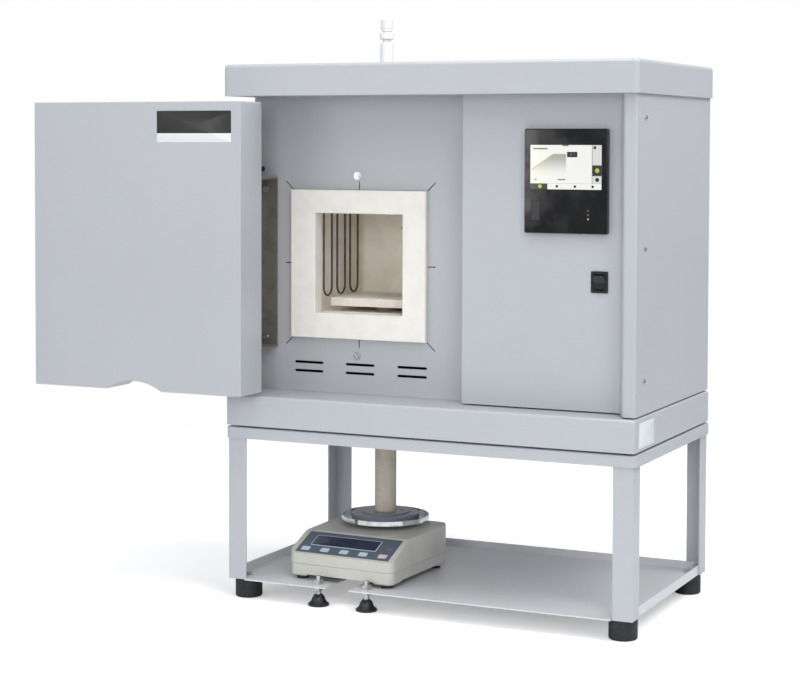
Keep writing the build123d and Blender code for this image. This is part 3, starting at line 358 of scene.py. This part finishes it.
@dataclass(frozen=True)
class FibreCeramic:
    """Pressed ceramic fibre: matt, faintly mottled, with small pits."""

    name: str
    colour: str
    shade: str
    pits: float = 0.00012
    burnt: float = 0.0

    def make(self) -> bpy.types.Material:
        """Build the material."""
        g = Graph(self.name)
        mottled = g.noise(38.0, 6.0, 0.6).ramp(0.38, 0.68)
        colour = g.mix(mottled, linear(self.colour), linear(self.shade))
        if self.burnt:
            spots = g.noise(90.0, 4.0, 0.7).ramp(0.56, 0.72) * self.burnt
            colour = g.mix(spots, colour, linear("6E6255"))
        grain = g.noise(700.0, 4.0, 0.7) * 0.6 + g.cells(420.0).ramp(0.0, 0.35) * 0.4
        return g.finish(
            Base_Color=colour, Roughness=g.noise(160.0).ramp(0.3, 0.7, 0.82, 0.95),
            Normal=g.bump(grain, self.pits), Specular_IOR_Level=0.25,
        )


@dataclass(frozen=True)
class Rubber:
    """Black rubber with a dusty bloom."""

    name: str
    colour: str = "17181A"

    def make(self) -> bpy.types.Material:
        """Build the material."""
        g = Graph(self.name)
        dust = g.noise(60.0, 6.0, 0.65).ramp(0.5, 0.8) * 0.5
        return g.finish(
            Base_Color=g.mix(dust, linear(self.colour), linear("3A3B3D")),
            Roughness=g.noise(220.0, 3.0).ramp(0.3, 0.7, 0.5, 0.7),
            Normal=g.bump(g.noise(1300.0, 3.0), 0.00003),
        )


@dataclass(frozen=True)
class MouldedPlastic:
    """Moulded plastic with a fine spark-eroded texture."""

    name: str
    colour: str
    shade: str
    roughness: float = 0.4
    texture: float = 0.00002

    def make(self) -> bpy.types.Material:
        """Build the material."""
        g = Graph(self.name)
        clouds = g.noise(18.0, 4.0).ramp(0.35, 0.7)
        grain = g.noise(2200.0, 2.0) * 0.6 + g.cells(1500.0) * 0.4
        rough = g.noise(45.0, 4.0).ramp(0.35, 0.7, self.roughness - 0.05, self.roughness + 0.07)
        return g.finish(
            Base_Color=g.mix(clouds, linear(self.colour), linear(self.shade)),
            Roughness=rough, Normal=g.bump(grain, self.texture),
        )


@dataclass(frozen=True)
class MirrorSteel:
    """Polished steel with faint turning lines and finger marks."""

    name: str
    colour: str = "C9CBCE"
    roughness: float = 0.12

    def make(self) -> bpy.types.Material:
        """Build the material."""
        g = Graph(self.name)
        marks = g.noise(55.0, 5.0, 0.6).ramp(0.45, 0.75)
        lines = g.noise(2500.0, 2.0, 0.5, g.stretched((0.05, 0.05, 1.0)))
        return g.finish(
            Base_Color=g.mix(marks, linear(self.colour), linear("A9ACB0")), Metallic=1.0,
            Roughness=marks * 0.12 + self.roughness, Normal=g.bump(lines, 0.000004),
        )


@dataclass(frozen=True)
class Element:
    """Dark heating wire with a glassy oxide skin."""

    name: str
    colour: str = "2E251E"

    def make(self) -> bpy.types.Material:
        """Build the material."""
        g = Graph(self.name)
        skin = g.noise(240.0, 4.0, 0.6).ramp(0.4, 0.7)
        return g.finish(
            Base_Color=g.mix(skin, linear(self.colour), linear("463A30")),
            Roughness=skin * 0.25 + 0.35, Normal=g.bump(g.noise(900.0), 0.00004),
        )


@dataclass(frozen=True)
class FootFinish:
    """Zinc-plated stud above a black pad."""

    name: str
    pad_top: float = 17.2 * MM

    def make(self) -> bpy.types.Material:
        """Build the material."""
        g = Graph(self.name)
        stud = g.axes()[2] > self.pad_top
        worn = g.noise(160.0, 4.0).ramp(0.4, 0.7)
        zinc = g.mix(worn, linear("C4C5C6"), linear("96989B"))
        pad = g.mix(worn, linear("1B1C1E"), linear("2B2C2E"))
        return g.finish(
            Base_Color=g.mix(stud, pad, zinc), Metallic=stud,
            Roughness=worn * 0.12 + 0.3, Normal=g.bump(g.noise(1400.0), 0.00001),
        )


@dataclass(frozen=True)
class Display:
    """Lit controller display: a generic heating curve, a value, a menu column and a menu row."""

    name: str
    left: float
    low: float
    width: float
    height: float

    def make(self) -> bpy.types.Material:
        """Build the material from shapes in fractions of the display's width and height."""
        g = Graph(self.name)
        x, _, z = g.axes()
        u = (x - self.left) / self.width
        v = (z - self.low) / self.height
        white, black, grey = linear("F1F2EE"), linear("141617"), linear("8A8B8A")
        ground = g.mix(u.ramp(0.0, 0.5), linear("F4F3E6"), white)
        # the curve climbs in a straight line, holds, and ends in a drop
        curve = (u - 0.03) * 1.15 + 0.455
        curve = curve.minimum(0.79)
        under = g.inside(u, 0.02, 0.505) * (v < curve) * (v > 0.3)
        shade = v.ramp(0.32, 0.8, 0.04, 0.75) * under
        picture = g.mix(shade, ground, linear("83827E"))
        line = (abs(v - curve) < 0.012) * g.inside(u, 0.02, 0.505)
        picture = g.mix(line, picture, linear("B9BA6A"))
        print_rows = (
            g.dashes(u, v, 0.035, 0.317, 0.916, 0.036) + g.dashes(u, v, 0.06, 0.09, 0.222, 0.03)
            + g.dashes(u, v, 0.3, 0.53, 0.222, 0.03) + g.window(u, v, (0.45, 0.54, 0.972, 1.0))
        )
        picture = g.mix(print_rows * 0.75, picture, black)
        value = g.window(u, v, (0.518, 0.663, 0.726, 0.846))
        picture = g.mix(value, picture, black)
        digits = g.window(u, v, (0.545, 0.635, 0.765, 0.805)) * (g.noise(260.0, 0.0) > 0.5)
        picture = g.mix(digits * 0.6, picture, grey)
        column = g.inside(u, 0.872, 1.0) * (v > 0.134)
        picture = g.mix(column, picture, linear("D9DAD8"))
        picture = g.mix(g.window(u, v, (0.865, 0.874, 0.134, 1.0)), picture, grey)
        dark_cells = g.window(u, v, (0.872, 1.0, 0.31, 0.548)) + g.window(u, v, (0.0, 0.243, 0.0, 0.128))
        picture = g.mix(dark_cells, picture, linear("2A2C2B"))
        dot = self.spot(u, v, 0.94, 0.222, 0.027)
        marks = sum((self.spot(u, v, place, 0.067, 0.018) for place in (0.376, 0.63, 0.878)), dot)
        marks = marks + self.spot(u, v, 0.905, 0.94, 0.02)
        picture = g.mix(marks, picture, black)
        lit = self.spot(u, v, 0.94, 0.43, 0.03) + self.spot(u, v, 0.137, 0.067, 0.026)
        picture = g.mix(lit, picture, linear("B5C63A"))
        edges = g.window(u, v, (0.878, 0.995, 0.3, 0.312)) + g.window(u, v, (0.0, 1.0, 0.13, 0.138))
        picture = g.mix(edges * 0.6, picture, grey)
        return g.finish(
            Base_Color=g.mix(0.9, picture, black), Emission_Color=picture, Emission_Strength=0.88,
            Roughness=g.noise(90.0).ramp(0.3, 0.7, 0.1, 0.16), Coat_Weight=0.3,
        )

    def spot(self, u: Value, v: Value, across: float, up: float, radius: float) -> Value:
        """One inside a round spot.

        Args:
            u: coordinate across, in widths.
            v: coordinate up, in heights.
            across: the spot's centre across.
            up: the spot's centre up.
            radius: the spot's radius in widths.

        Returns:
            One inside and zero outside.
        """
        right = u - across
        high = (v - up) * (self.height / self.width)
        return (right * right + high * high) < radius ** 2


@dataclass(frozen=True)
class Lamp:
    """Small signal lamp that may glow."""

    name: str
    colour: str
    glow: float = 0.0

    def make(self) -> bpy.types.Material:
        """Build the material."""
        g = Graph(self.name)
        tint = g.mix(g.noise(900.0).ramp(0.3, 0.7), linear(self.colour), linear("55504E"))
        return g.finish(
            Base_Color=tint, Emission_Color=tint, Emission_Strength=self.glow,
            Roughness=g.noise(400.0).ramp(0.3, 0.7, 0.15, 0.25),
        )


@dataclass(frozen=True)
class Label:
    """Bare printed film: a ground colour above an edge, and another colour below it."""

    name: str
    ground: str
    foot: str
    edge: float
    roughness: float = 0.3

    def make(self) -> bpy.types.Material:
        """Build the material."""
        g = Graph(self.name)
        soft = g.noise(40.0, 4.0).ramp(0.35, 0.7)
        worn = tuple(0.93 * c for c in linear(self.ground)[:3]) + (1.0,)
        ground = g.mix(soft, linear(self.ground), worn)
        below = g.axes()[2] < self.edge
        return g.finish(
            Base_Color=g.mix(below, ground, linear(self.foot)),
            Roughness=soft * 0.08 + self.roughness, Normal=g.bump(g.noise(900.0), 0.000006),
        )


# ---------------------------------------------------------------------------
# Shapes
# ---------------------------------------------------------------------------
@dataclass(frozen=True)
class Facing:
    """A working plane, in metres: its origin and the directions across it and up it."""

    origin: Triple
    across: Triple = (1.0, 0.0, 0.0)
    up: Triple = (0.0, 0.0, 1.0)

    def points(self, flat: np.ndarray, level: float) -> np.ndarray:
        """Place flat points: origin + a * across + b * up + level * (across x up).

        Args:
            flat: rows of a and b.
            level: height above the plane.

        Returns:
            Rows of x, y and z.
        """
        across, up = np.array(self.across), np.array(self.up)
        normal = np.cross(across, up)
        return np.array(self.origin) + flat[:, :1] * across + flat[:, 1:] * up + level * normal

    def moved(self, a: float, b: float, level: float = 0.0) -> "Facing":
        """The same plane with its origin moved by a across, b up and level outwards."""
        origin = self.points(np.array([[a, b]]), level)[0]
        return Facing(tuple(origin.tolist()), self.across, self.up)


def rounded(width: float, height: float, radius: float, steps: int = 6) -> np.ndarray:
    """Outline of a rounded rectangle, counter-clockwise: corner centre + radius * (cos a, sin a).

    Args:
        width: overall width.
        height: overall height.
        radius: corner radius.
        steps: points on each corner.

    Returns:
        Rows of two coordinates.
    """
    angles = np.arange(4)[:, None] * np.pi / 2 + np.linspace(0, np.pi / 2, steps)
    corners = np.array([(1, 1), (-1, 1), (-1, -1), (1, -1)]) * (width / 2 - radius, height / 2 - radius)
    arcs = radius * np.stack([np.cos(angles), np.sin(angles)], axis=-1)
    return (corners[:, None, :] + arcs).reshape(-1, 2)


def circle(radius: float, count: int = 40) -> np.ndarray:
    """Outline of a circle, counter-clockwise: radius * (cos a, sin a)."""
    angles = np.linspace(0, 2 * np.pi, count, endpoint=False)
    return radius * np.stack([np.cos(angles), np.sin(angles)], axis=-1)


class Shape:
    """A mesh put together from closed solids."""

    def __init__(self) -> None:
        """Start with no solid."""
        self.points: list[np.ndarray] = []
        self.faces: list[list[int]] = []
        self.count = 0

    def stack(self, plane: Facing, rings: Sequence[tuple[np.ndarray, float]]) -> None:
        """Add one solid that runs through outlines of equal counts, closed by a fan at each end.

        Args:
            plane: the plane that the outlines lie over.
            rings: outlines with their levels, from the lowest outwards.
        """
        size = len(rings[0][0])
        placed = [plane.points(flat, level) for flat, level in rings]
        ends = [placed[0].mean(axis=0, keepdims=True), placed[-1].mean(axis=0, keepdims=True)]
        here = np.arange(size)
        after = np.roll(here, -1)
        base = self.count + size * np.arange(len(rings) - 1)[:, None]
        walls = np.stack([base + here, base + after, base + size + after, base + size + here], axis=-1)
        low, high = self.count + size * len(rings), self.count + size * len(rings) + 1
        last = self.count + size * (len(rings) - 1)
        bottom = np.stack([self.count + after, self.count + here, np.full(size, low)], axis=-1)
        top = np.stack([last + here, last + after, np.full(size, high)], axis=-1)
        self.faces += walls.reshape(-1, 4).tolist() + bottom.tolist() + top.tolist()
        self.points += placed + ends
        self.count = high + 1

    def plate(self, plane: Facing, width: float, height: float, radius: float, thick: float,
              edge: float, sink: float = 0.0) -> None:
        """Add a plate with softened front edges.

        Args:
            plane: the face that it lies on.
            width: its width.
            height: its height.
            radius: its corner radius.
            thick: how far it stands out.
            edge: width of its softened edge.
            sink: how far it reaches behind the face.
        """
        full = rounded(width, height, radius)
        half = rounded(width - 0.6 * edge, height - 0.6 * edge, max(radius - 0.3 * edge, 0.1 * MM))
        small = rounded(width - 2 * edge, height - 2 * edge, max(radius - edge, 0.1 * MM))
        self.stack(plane, [(full, -sink), (full, thick - edge), (half, thick - 0.3 * edge), (small, thick)])

    def piece(self, name: str, material: bpy.types.Material, body: Body) -> bpy.types.Object:
        """Make the object.

        Args:
            name: name of the piece.
            material: its finish.
            body: the body that it moves with.

        Returns:
            The new object.
        """
        mesh = bpy.data.meshes.new(name)
        mesh.from_pydata(np.concatenate(self.points).tolist(), [], self.faces)
        mesh.materials.append(material)
        mesh.shade_smooth()
        mesh.set_sharp_from_angle(angle=math.radians(35))
        made = bpy.data.objects.new(name, mesh)
        bpy.context.scene.collection.objects.link(made)
        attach(made, body.value)
        LOG.info("%s: %d faces", name, len(self.faces))
        return made


# ---------------------------------------------------------------------------
# The assembled picture
# ---------------------------------------------------------------------------
@dataclass
class Studio:
    """Camera, lamps, floor and background.

    The camera stands at the right front of the furnace, a little under the lid's height.
    """

    eye: Triple = (1.1566, -2.7323, 0.6941)
    yaw: float = 25.023
    pitch: float = -2.406
    roll: float = 0.176
    focal_pixels: float = 1938.3
    centre_row: float = 225.0
    floor_fade: float = 0.7
    floor_radius: float = 2.2

    def camera(self) -> None:
        """Place the camera; its shift brings the optical centre to its row of the picture."""
        data = bpy.data.cameras.new("camera")
        data.sensor_width = SENSOR
        data.lens = self.focal_pixels * SENSOR / IMAGE_WIDTH
        data.shift_y = (self.centre_row - IMAGE_HEIGHT / 2) / IMAGE_WIDTH
        data.clip_end = 50
        camera = bpy.data.objects.new("camera", data)
        turn = (
            Matrix.Rotation(math.radians(self.yaw), 4, "Z")
            @ Matrix.Rotation(math.radians(90 + self.pitch), 4, "X")
            @ Matrix.Rotation(math.radians(self.roll), 4, "Z")
        )
        camera.matrix_world = Matrix.Translation(Vector(self.eye)) @ turn
        bpy.context.scene.collection.objects.link(camera)
        bpy.context.scene.camera = camera

    def lamp(self, name: str, place: Triple, size: tuple[float, float], power: float,
             aim: Triple = (0.0, 0.0, 0.45)) -> None:
        """Add a rectangular soft light aimed at a point.

        Args:
            name: name of the lamp.
            place: where it hangs.
            size: its width and height.
            power: its power in watts.
            aim: the point that it faces.
        """
        data = bpy.data.lights.new(name, "AREA")
        data.shape = "RECTANGLE"
        data.size, data.size_y = size
        data.energy = power
        lamp = bpy.data.objects.new(name, data)
        lamp.location = place
        lamp.rotation_euler = (Vector(aim) - Vector(place)).to_track_quat("-Z", "Y").to_euler()
        bpy.context.scene.collection.objects.link(lamp)

    def world(self) -> None:
        """Pale even surroundings, white to the camera and to transmission rays."""
        world = bpy.data.worlds.new("surroundings")
        bpy.context.scene.world = world
        world.use_nodes = True
        tree = world.node_tree
        tree.nodes.clear()
        path = tree.nodes.new("ShaderNodeLightPath")
        seen = tree.nodes.new("ShaderNodeMath")
        seen.operation = "MAXIMUM"
        tree.links.new(path.outputs["Is Camera Ray"], seen.inputs[0])
        tree.links.new(path.outputs["Is Transmission Ray"], seen.inputs[1])
        fill = tree.nodes.new("ShaderNodeBackground")
        fill.inputs["Color"].default_value = (0.93, 0.96, 1.0, 1.0)
        fill.inputs["Strength"].default_value = 0.45
        white = tree.nodes.new("ShaderNodeBackground")
        white.inputs["Color"].default_value = (1.0, 1.0, 1.0, 1.0)
        mix = tree.nodes.new("ShaderNodeMixShader")
        out = tree.nodes.new("ShaderNodeOutputWorld")
        tree.links.new(seen.outputs[0], mix.inputs[0])
        tree.links.new(fill.outputs[0], mix.inputs[1])
        tree.links.new(white.outputs[0], mix.inputs[2])
        tree.links.new(mix.outputs[0], out.inputs["Surface"])

    def floor(self) -> None:
        """Lay the pale floor that the feet stand on, a disc that fades out into the background."""
        rim = self.floor_radius * np.append(circle(1.0, 96), np.zeros((96, 1)), axis=1)
        mesh = bpy.data.meshes.new("floor")
        mesh.from_pydata(rim.tolist(), [], [list(range(96))])
        floor = bpy.data.objects.new("floor", mesh)
        bpy.context.scene.collection.objects.link(floor)
        g = Graph("pale_floor")
        grain = g.noise(3.0, 4.0).ramp(0.3, 0.7)
        path = g.node("ShaderNodeLightPath")
        seen = Value(g, path.outputs["Is Camera Ray"])
        x, y, _ = g.axes()
        away = x * x + y * y
        shown = away.ramp(self.floor_fade ** 2, self.floor_radius ** 2, 1.0, 0.0)
        tone = g.mix(grain, (0.93, 0.93, 0.93, 1.0), (0.91, 0.91, 0.915, 1.0))
        mesh.materials.append(g.finish(
            Base_Color=tone, Roughness=0.9, Specular_IOR_Level=0.1, Alpha=shown,
            Emission_Color=(1.0, 1.0, 1.0, 1.0), Emission_Strength=seen * 0.3,
        ))

    def build(self) -> None:
        """Set up everything that isn't part of the furnace."""
        scene = bpy.context.scene
        scene.view_settings.view_transform = "Standard"
        self.camera()
        self.world()
        self.floor()
        self.lamp("key", (2.4, -2.5, 2.6), (1.6, 1.6), 40.0)
        self.lamp("front", (0.8, -3.6, 1.2), (1.2, 1.2), 30.0, (-0.1, 0.0, 0.5))
        self.lamp("left", (-2.9, -2.4, 1.9), (1.8, 2.2), 16.0)
        self.lamp("top", (0.1, -0.6, 2.7), (1.8, 1.6), 38.0)
        self.lamp("side", (1.4, 0.1, 1.75), (1.0, 1.0), 16.0, (0.33, 0.0, 0.9))
        self.lamp("low", (-1.1, -2.2, 0.75), (0.9, 0.5), 4.0, (0.0, 0.0, 0.1))
        LOG.info("studio ready")


@dataclass
class Finishes:
    """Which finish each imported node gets."""

    coat: PowderCoat = PowderCoat("powder_coat", "AEB1B6", 0.36)
    # Painted light: the tray gets a lighter copy of the powder coat, which stands for light that the
    # cabinet's shadow keeps off it.
    tray_coat_painted_light: PowderCoat = PowderCoat("tray_coat_painted_light", "C9CACD", 0.34)
    # Painted shade: the recess panel gets a slightly darker copy of the powder coat, which stands for the
    # shade under the lid's overhang.
    recess: PowderCoat = PowderCoat("recess_coat", "ACAEB2", 0.36)
    steel: BrushedSteel = BrushedSteel("stainless", "A39E96", 0.46)
    zinc: BrushedSteel = BrushedSteel("zinc_plated", "C2C3C4", 0.24, (1.0, 1.0, 2.0))
    galvanised: BrushedSteel = BrushedSteel("galvanised", "A6A8A8", 0.5)
    aluminium: BrushedSteel = BrushedSteel("aluminium", "C9CBCC", 0.4)
    black_steel: PowderCoat = PowderCoat("black_steel", "1E1F21", 0.38)
    white_ceramic: FibreCeramic = FibreCeramic("white_ceramic", "E4E1DB", "DFDBD4", 0.00006)
    fired_ceramic: FibreCeramic = FibreCeramic("fired_ceramic", "F7F0E5", "EFE7DA", 0.00012, 0.06)
    beige_ceramic: FibreCeramic = FibreCeramic("beige_ceramic", "C2B9AB", "B7AD9F", 0.00005, 0.08)
    plate_ceramic: FibreCeramic = FibreCeramic("plate_ceramic", "E9E5DC", "D8D2C6", 0.00006)
    # Painted shade: the wool behind the slots gets a near-black colour that stands for the shade inside the
    # slots, not the wool's own pale colour.
    shaded_wool: FibreCeramic = FibreCeramic("wool_painted_shade", "35332F", "2C2A27", 0.0004)
    rubber: Rubber = Rubber("black_rubber")
    black: MouldedPlastic = MouldedPlastic("black_plastic", "141517", "1C1D1F", 0.3)
    ivory: MouldedPlastic = MouldedPlastic("ivory_plastic", "BEBDB6", "B8B7B0", 0.38)
    foil: MouldedPlastic = MouldedPlastic("blue_foil", "55626F", "505C69", 0.35, 0.000008)
    key: MouldedPlastic = MouldedPlastic("grey_key", "BFCCD8", "B6C3CF", 0.4, 0.00001)
    red_key: MouldedPlastic = MouldedPlastic("red_key", "D3BFC4", "C8B2B8", 0.4, 0.00001)
    mirror: MirrorSteel = MirrorSteel("polished_steel")
    pale_coat: PowderCoat = PowderCoat("pale_coat", "DCDDDE", 0.4)
    grey_steel: PowderCoat = PowderCoat("adapter_coat", "7C7F86", 0.3)
    feet: FootFinish = FootFinish("levelling_foot")
    gloss: MouldedPlastic = MouldedPlastic("gloss_black", "08080A", "0C0C0E", 0.1, 0.000002)
    flap: MouldedPlastic = MouldedPlastic("flap_plastic", "2A2A2F", "242429", 0.3)
    display: Display = Display("display", 0.1535, 0.6298, 0.107, 0.063)
    element: Element = Element("element_wire")

    def by_node(self) -> dict[str, Any]:
        """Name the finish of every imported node.

        Returns:
            Finishes keyed by node name.
        """
        groups = {
            self.coat: "lid plinth_housing side_panel_left side_panel_right control_panel rear_panel "
                       "frame_ring "
                       "stand_legs door_shell door_rear_cover",
            self.tray_coat_painted_light: "tray",
            self.recess: "recess_panel",
            self.steel: "hinge_bracket hinge_pin swing_arm guide_link door_hinge_lugs",
            self.pale_coat: "vent_pipe vent_cap",
            self.zinc: "tray_fixings case_screws",
            self.galvanised: "base_plate",
            self.aluminium: "power_straps switching_unit load_cell",
            self.black_steel: "transformer",
            self.feet: "levelling_foot_left levelling_foot_right",
            self.white_ceramic: "chamber_collar door_plug floor_bushing element_holders",
            self.fired_ceramic: "chamber_floor chamber_roof chamber_walls chamber_back",
            self.plate_ceramic: "sample_plate",
            self.beige_ceramic: "support_tube thermocouple",
            self.shaded_wool: "backup_insulation",
            self.rubber: "rubber_feet balance_feet",
            self.black: "door_sensor cable_gland switch_housing switch_rocker",
            self.gloss: "controller_body",
            self.flap: "controller_flap",
            self.display: "controller_screen",
            self.ivory: "balance_lower_shell balance_upper_shell",
            self.foil: "balance_foil",
            self.key: "key_on_off key_print key_unit key_count",
            self.red_key: "key_tare",
            self.mirror: "weighing_pan",
            self.grey_steel: "adapter_disc",
            self.element: "heating_elements",
        }
        return {node: finish for finish, nodes in groups.items() for node in nodes.split()}

    def dress(self) -> None:
        """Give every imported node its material."""
        made: dict[str, bpy.types.Material] = {}
        for node, finish in self.by_node().items():
            if finish.name not in made:
                made[finish.name] = finish.make()
            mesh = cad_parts[node].data
            mesh.materials.clear()
            mesh.materials.append(made[finish.name])
            LOG.info("%s: %s", node, finish.name)


@dataclass
class DoorPlate:
    """Bare dark plate with a light lower band in the door's shallow pocket."""

    left: float = -0.4087
    right: float = -0.2805
    low: float = 0.695
    high: float = 0.742
    face: float = -0.2438
    band: float = 0.7085

    def build(self) -> None:
        """Make the plate."""
        shape = Shape()
        centre = ((self.left + self.right) / 2, self.face, (self.low + self.high) / 2)
        shape.plate(Facing(centre), self.right - self.left, self.high - self.low,
                    0.8 * MM, 0.35 * MM, 0.12 * MM)
        film = Label("door_plate_film", "1D1C1B", "DDDEDF", self.band, 0.28)
        shape.piece("door_plate", film.make(), Body.DOOR)


@dataclass
class RatingSticker:
    """Bare white sticker on the right side of the plinth."""

    side: float = 0.325
    near: float = -0.163
    far: float = -0.095
    low: float = 0.2705
    high: float = 0.306

    def build(self) -> None:
        """Make the sticker."""
        shape = Shape()
        plane = Facing((self.side, (self.near + self.far) / 2, (self.low + self.high) / 2), (0.0, 1.0, 0.0))
        shape.plate(plane, self.far - self.near, self.high - self.low, 1.2 * MM, 0.18 * MM, 0.06 * MM)
        film = Label("sticker_film", "D4D8DD", "D4D8DD", 0.0, 0.4)
        shape.piece("rating_sticker", film.make(), Body.FURNACE)


@dataclass
class ControllerTrim:
    """Signal lamps of the controller."""

    lamp_x: float = 0.2410
    lamp_levels: Triple = (0.6000, 0.5940, 0.5880)
    face: float = -0.144

    def build(self) -> None:
        """Make the lamps, one above the other."""
        colours = (("dim", "6A6663", 0.0), ("red", "B4574A", 0.25), ("white", "C9C6C0", 0.35))
        for (name, colour, glow), level in zip(colours, self.lamp_levels):
            shape = Shape()
            plane = Facing((self.lamp_x, self.face, level))
            shape.stack(plane, [
                (circle(1.2 * MM), -0.2 * MM), (circle(1.2 * MM), 0.15 * MM),
                (circle(0.9 * MM), 0.45 * MM), (circle(0.45 * MM), 0.6 * MM),
            ])
            lamp = Lamp(f"lamp_{name}", colour, glow)
            shape.piece(f"controller_lamp_{name}", lamp.make(), Body.FURNACE)


@dataclass
class BalanceTrim:
    """Display window, its frame, the indicator on the sloping front, and the adapter's screws.

    The slope's middle, its rise and the balance's turn are those of the balance in the frame.
    """

    turn: float = math.radians(-2.5)
    centre: tuple[float, float] = (-0.142, -0.058)
    slope_middle: float = -0.066
    slope_run: float = 0.058
    slope_low: float = 0.072
    slope_high: float = 0.0975
    adapter: tuple[float, float, float] = (-0.140, -0.005, 0.120)

    def slope(self) -> Facing:
        """The sloping face as a working plane, with its across along the balance's width."""
        ahead = np.array([-math.sin(self.turn), math.cos(self.turn)])
        middle = np.array(self.centre) + ahead * self.slope_middle
        rise = self.slope_high - self.slope_low
        length = math.hypot(self.slope_run, rise)
        up = (*(ahead * self.slope_run / length).tolist(), rise / length)
        across = (math.cos(self.turn), math.sin(self.turn), 0.0)
        return Facing((*middle.tolist(), (self.slope_low + self.slope_high) / 2), across, up)

    def build(self) -> None:
        """Make the window, its frame, the indicator and the screws."""
        slope = self.slope()
        window = slope.moved(-7.0 * MM, 6.0 * MM)
        frame_film = Label("window_frame_film", "C3C9CD", "C3C9CD", 0.0, 0.35)
        glass = Label("window_glass", "2B3044", "2B3044", 0.0, 0.12)
        shape = Shape()
        shape.plate(window, 112.0 * MM, 26.5 * MM, 1.2 * MM, 0.22 * MM, 0.08 * MM)
        shape.piece("balance_window_frame", frame_film.make(), Body.FURNACE)
        shape = Shape()
        shape.plate(window, 109.6 * MM, 24.1 * MM, 0.8 * MM, 0.36 * MM, 0.1 * MM, -0.1 * MM)
        shape.piece("balance_window", glass.make(), Body.FURNACE)
        shape = Shape()
        shape.plate(slope.moved(69.0 * MM, 4.0 * MM), 7.5 * MM, 3.6 * MM, 1.7 * MM, 0.25 * MM, 0.1 * MM)
        lamp = Lamp("stability_lamp", "A0838A", 0.0)
        shape.piece("balance_indicator", lamp.make(), Body.FURNACE)
        self.screws()

    def screws(self) -> None:
        """Sink a dark socket screw into each of the adapter's three recesses."""
        shape = Shape()
        plate = Facing(self.adapter, (1.0, 0.0, 0.0), (0.0, 1.0, 0.0))
        for angle in np.radians((20.0, 140.0, 260.0)):
            head = plate.moved(25.0 * MM * math.cos(angle), 25.0 * MM * math.sin(angle))
            shape.stack(head, [
                (circle(2.9 * MM), -1.8 * MM), (circle(2.9 * MM), -0.5 * MM), (circle(2.6 * MM), -0.2 * MM),
                (circle(1.5 * MM), -0.2 * MM), (circle(1.4 * MM), -1.4 * MM),
            ])
        steel = PowderCoat("burnished_screw", "242424", 0.35)
        shape.piece("adapter_screws", steel.make(), Body.COLUMN)


def main() -> None:
    """Build the studio, dress the furnace and add its trim."""
    logging.basicConfig(level=logging.INFO, format="%(message)s")
    Studio().build()
    Finishes().dress()
    for trim in (DoorPlate(), RatingSticker(), ControllerTrim(), BalanceTrim()):
        trim.build()


if __name__ == "__main__":
    main()
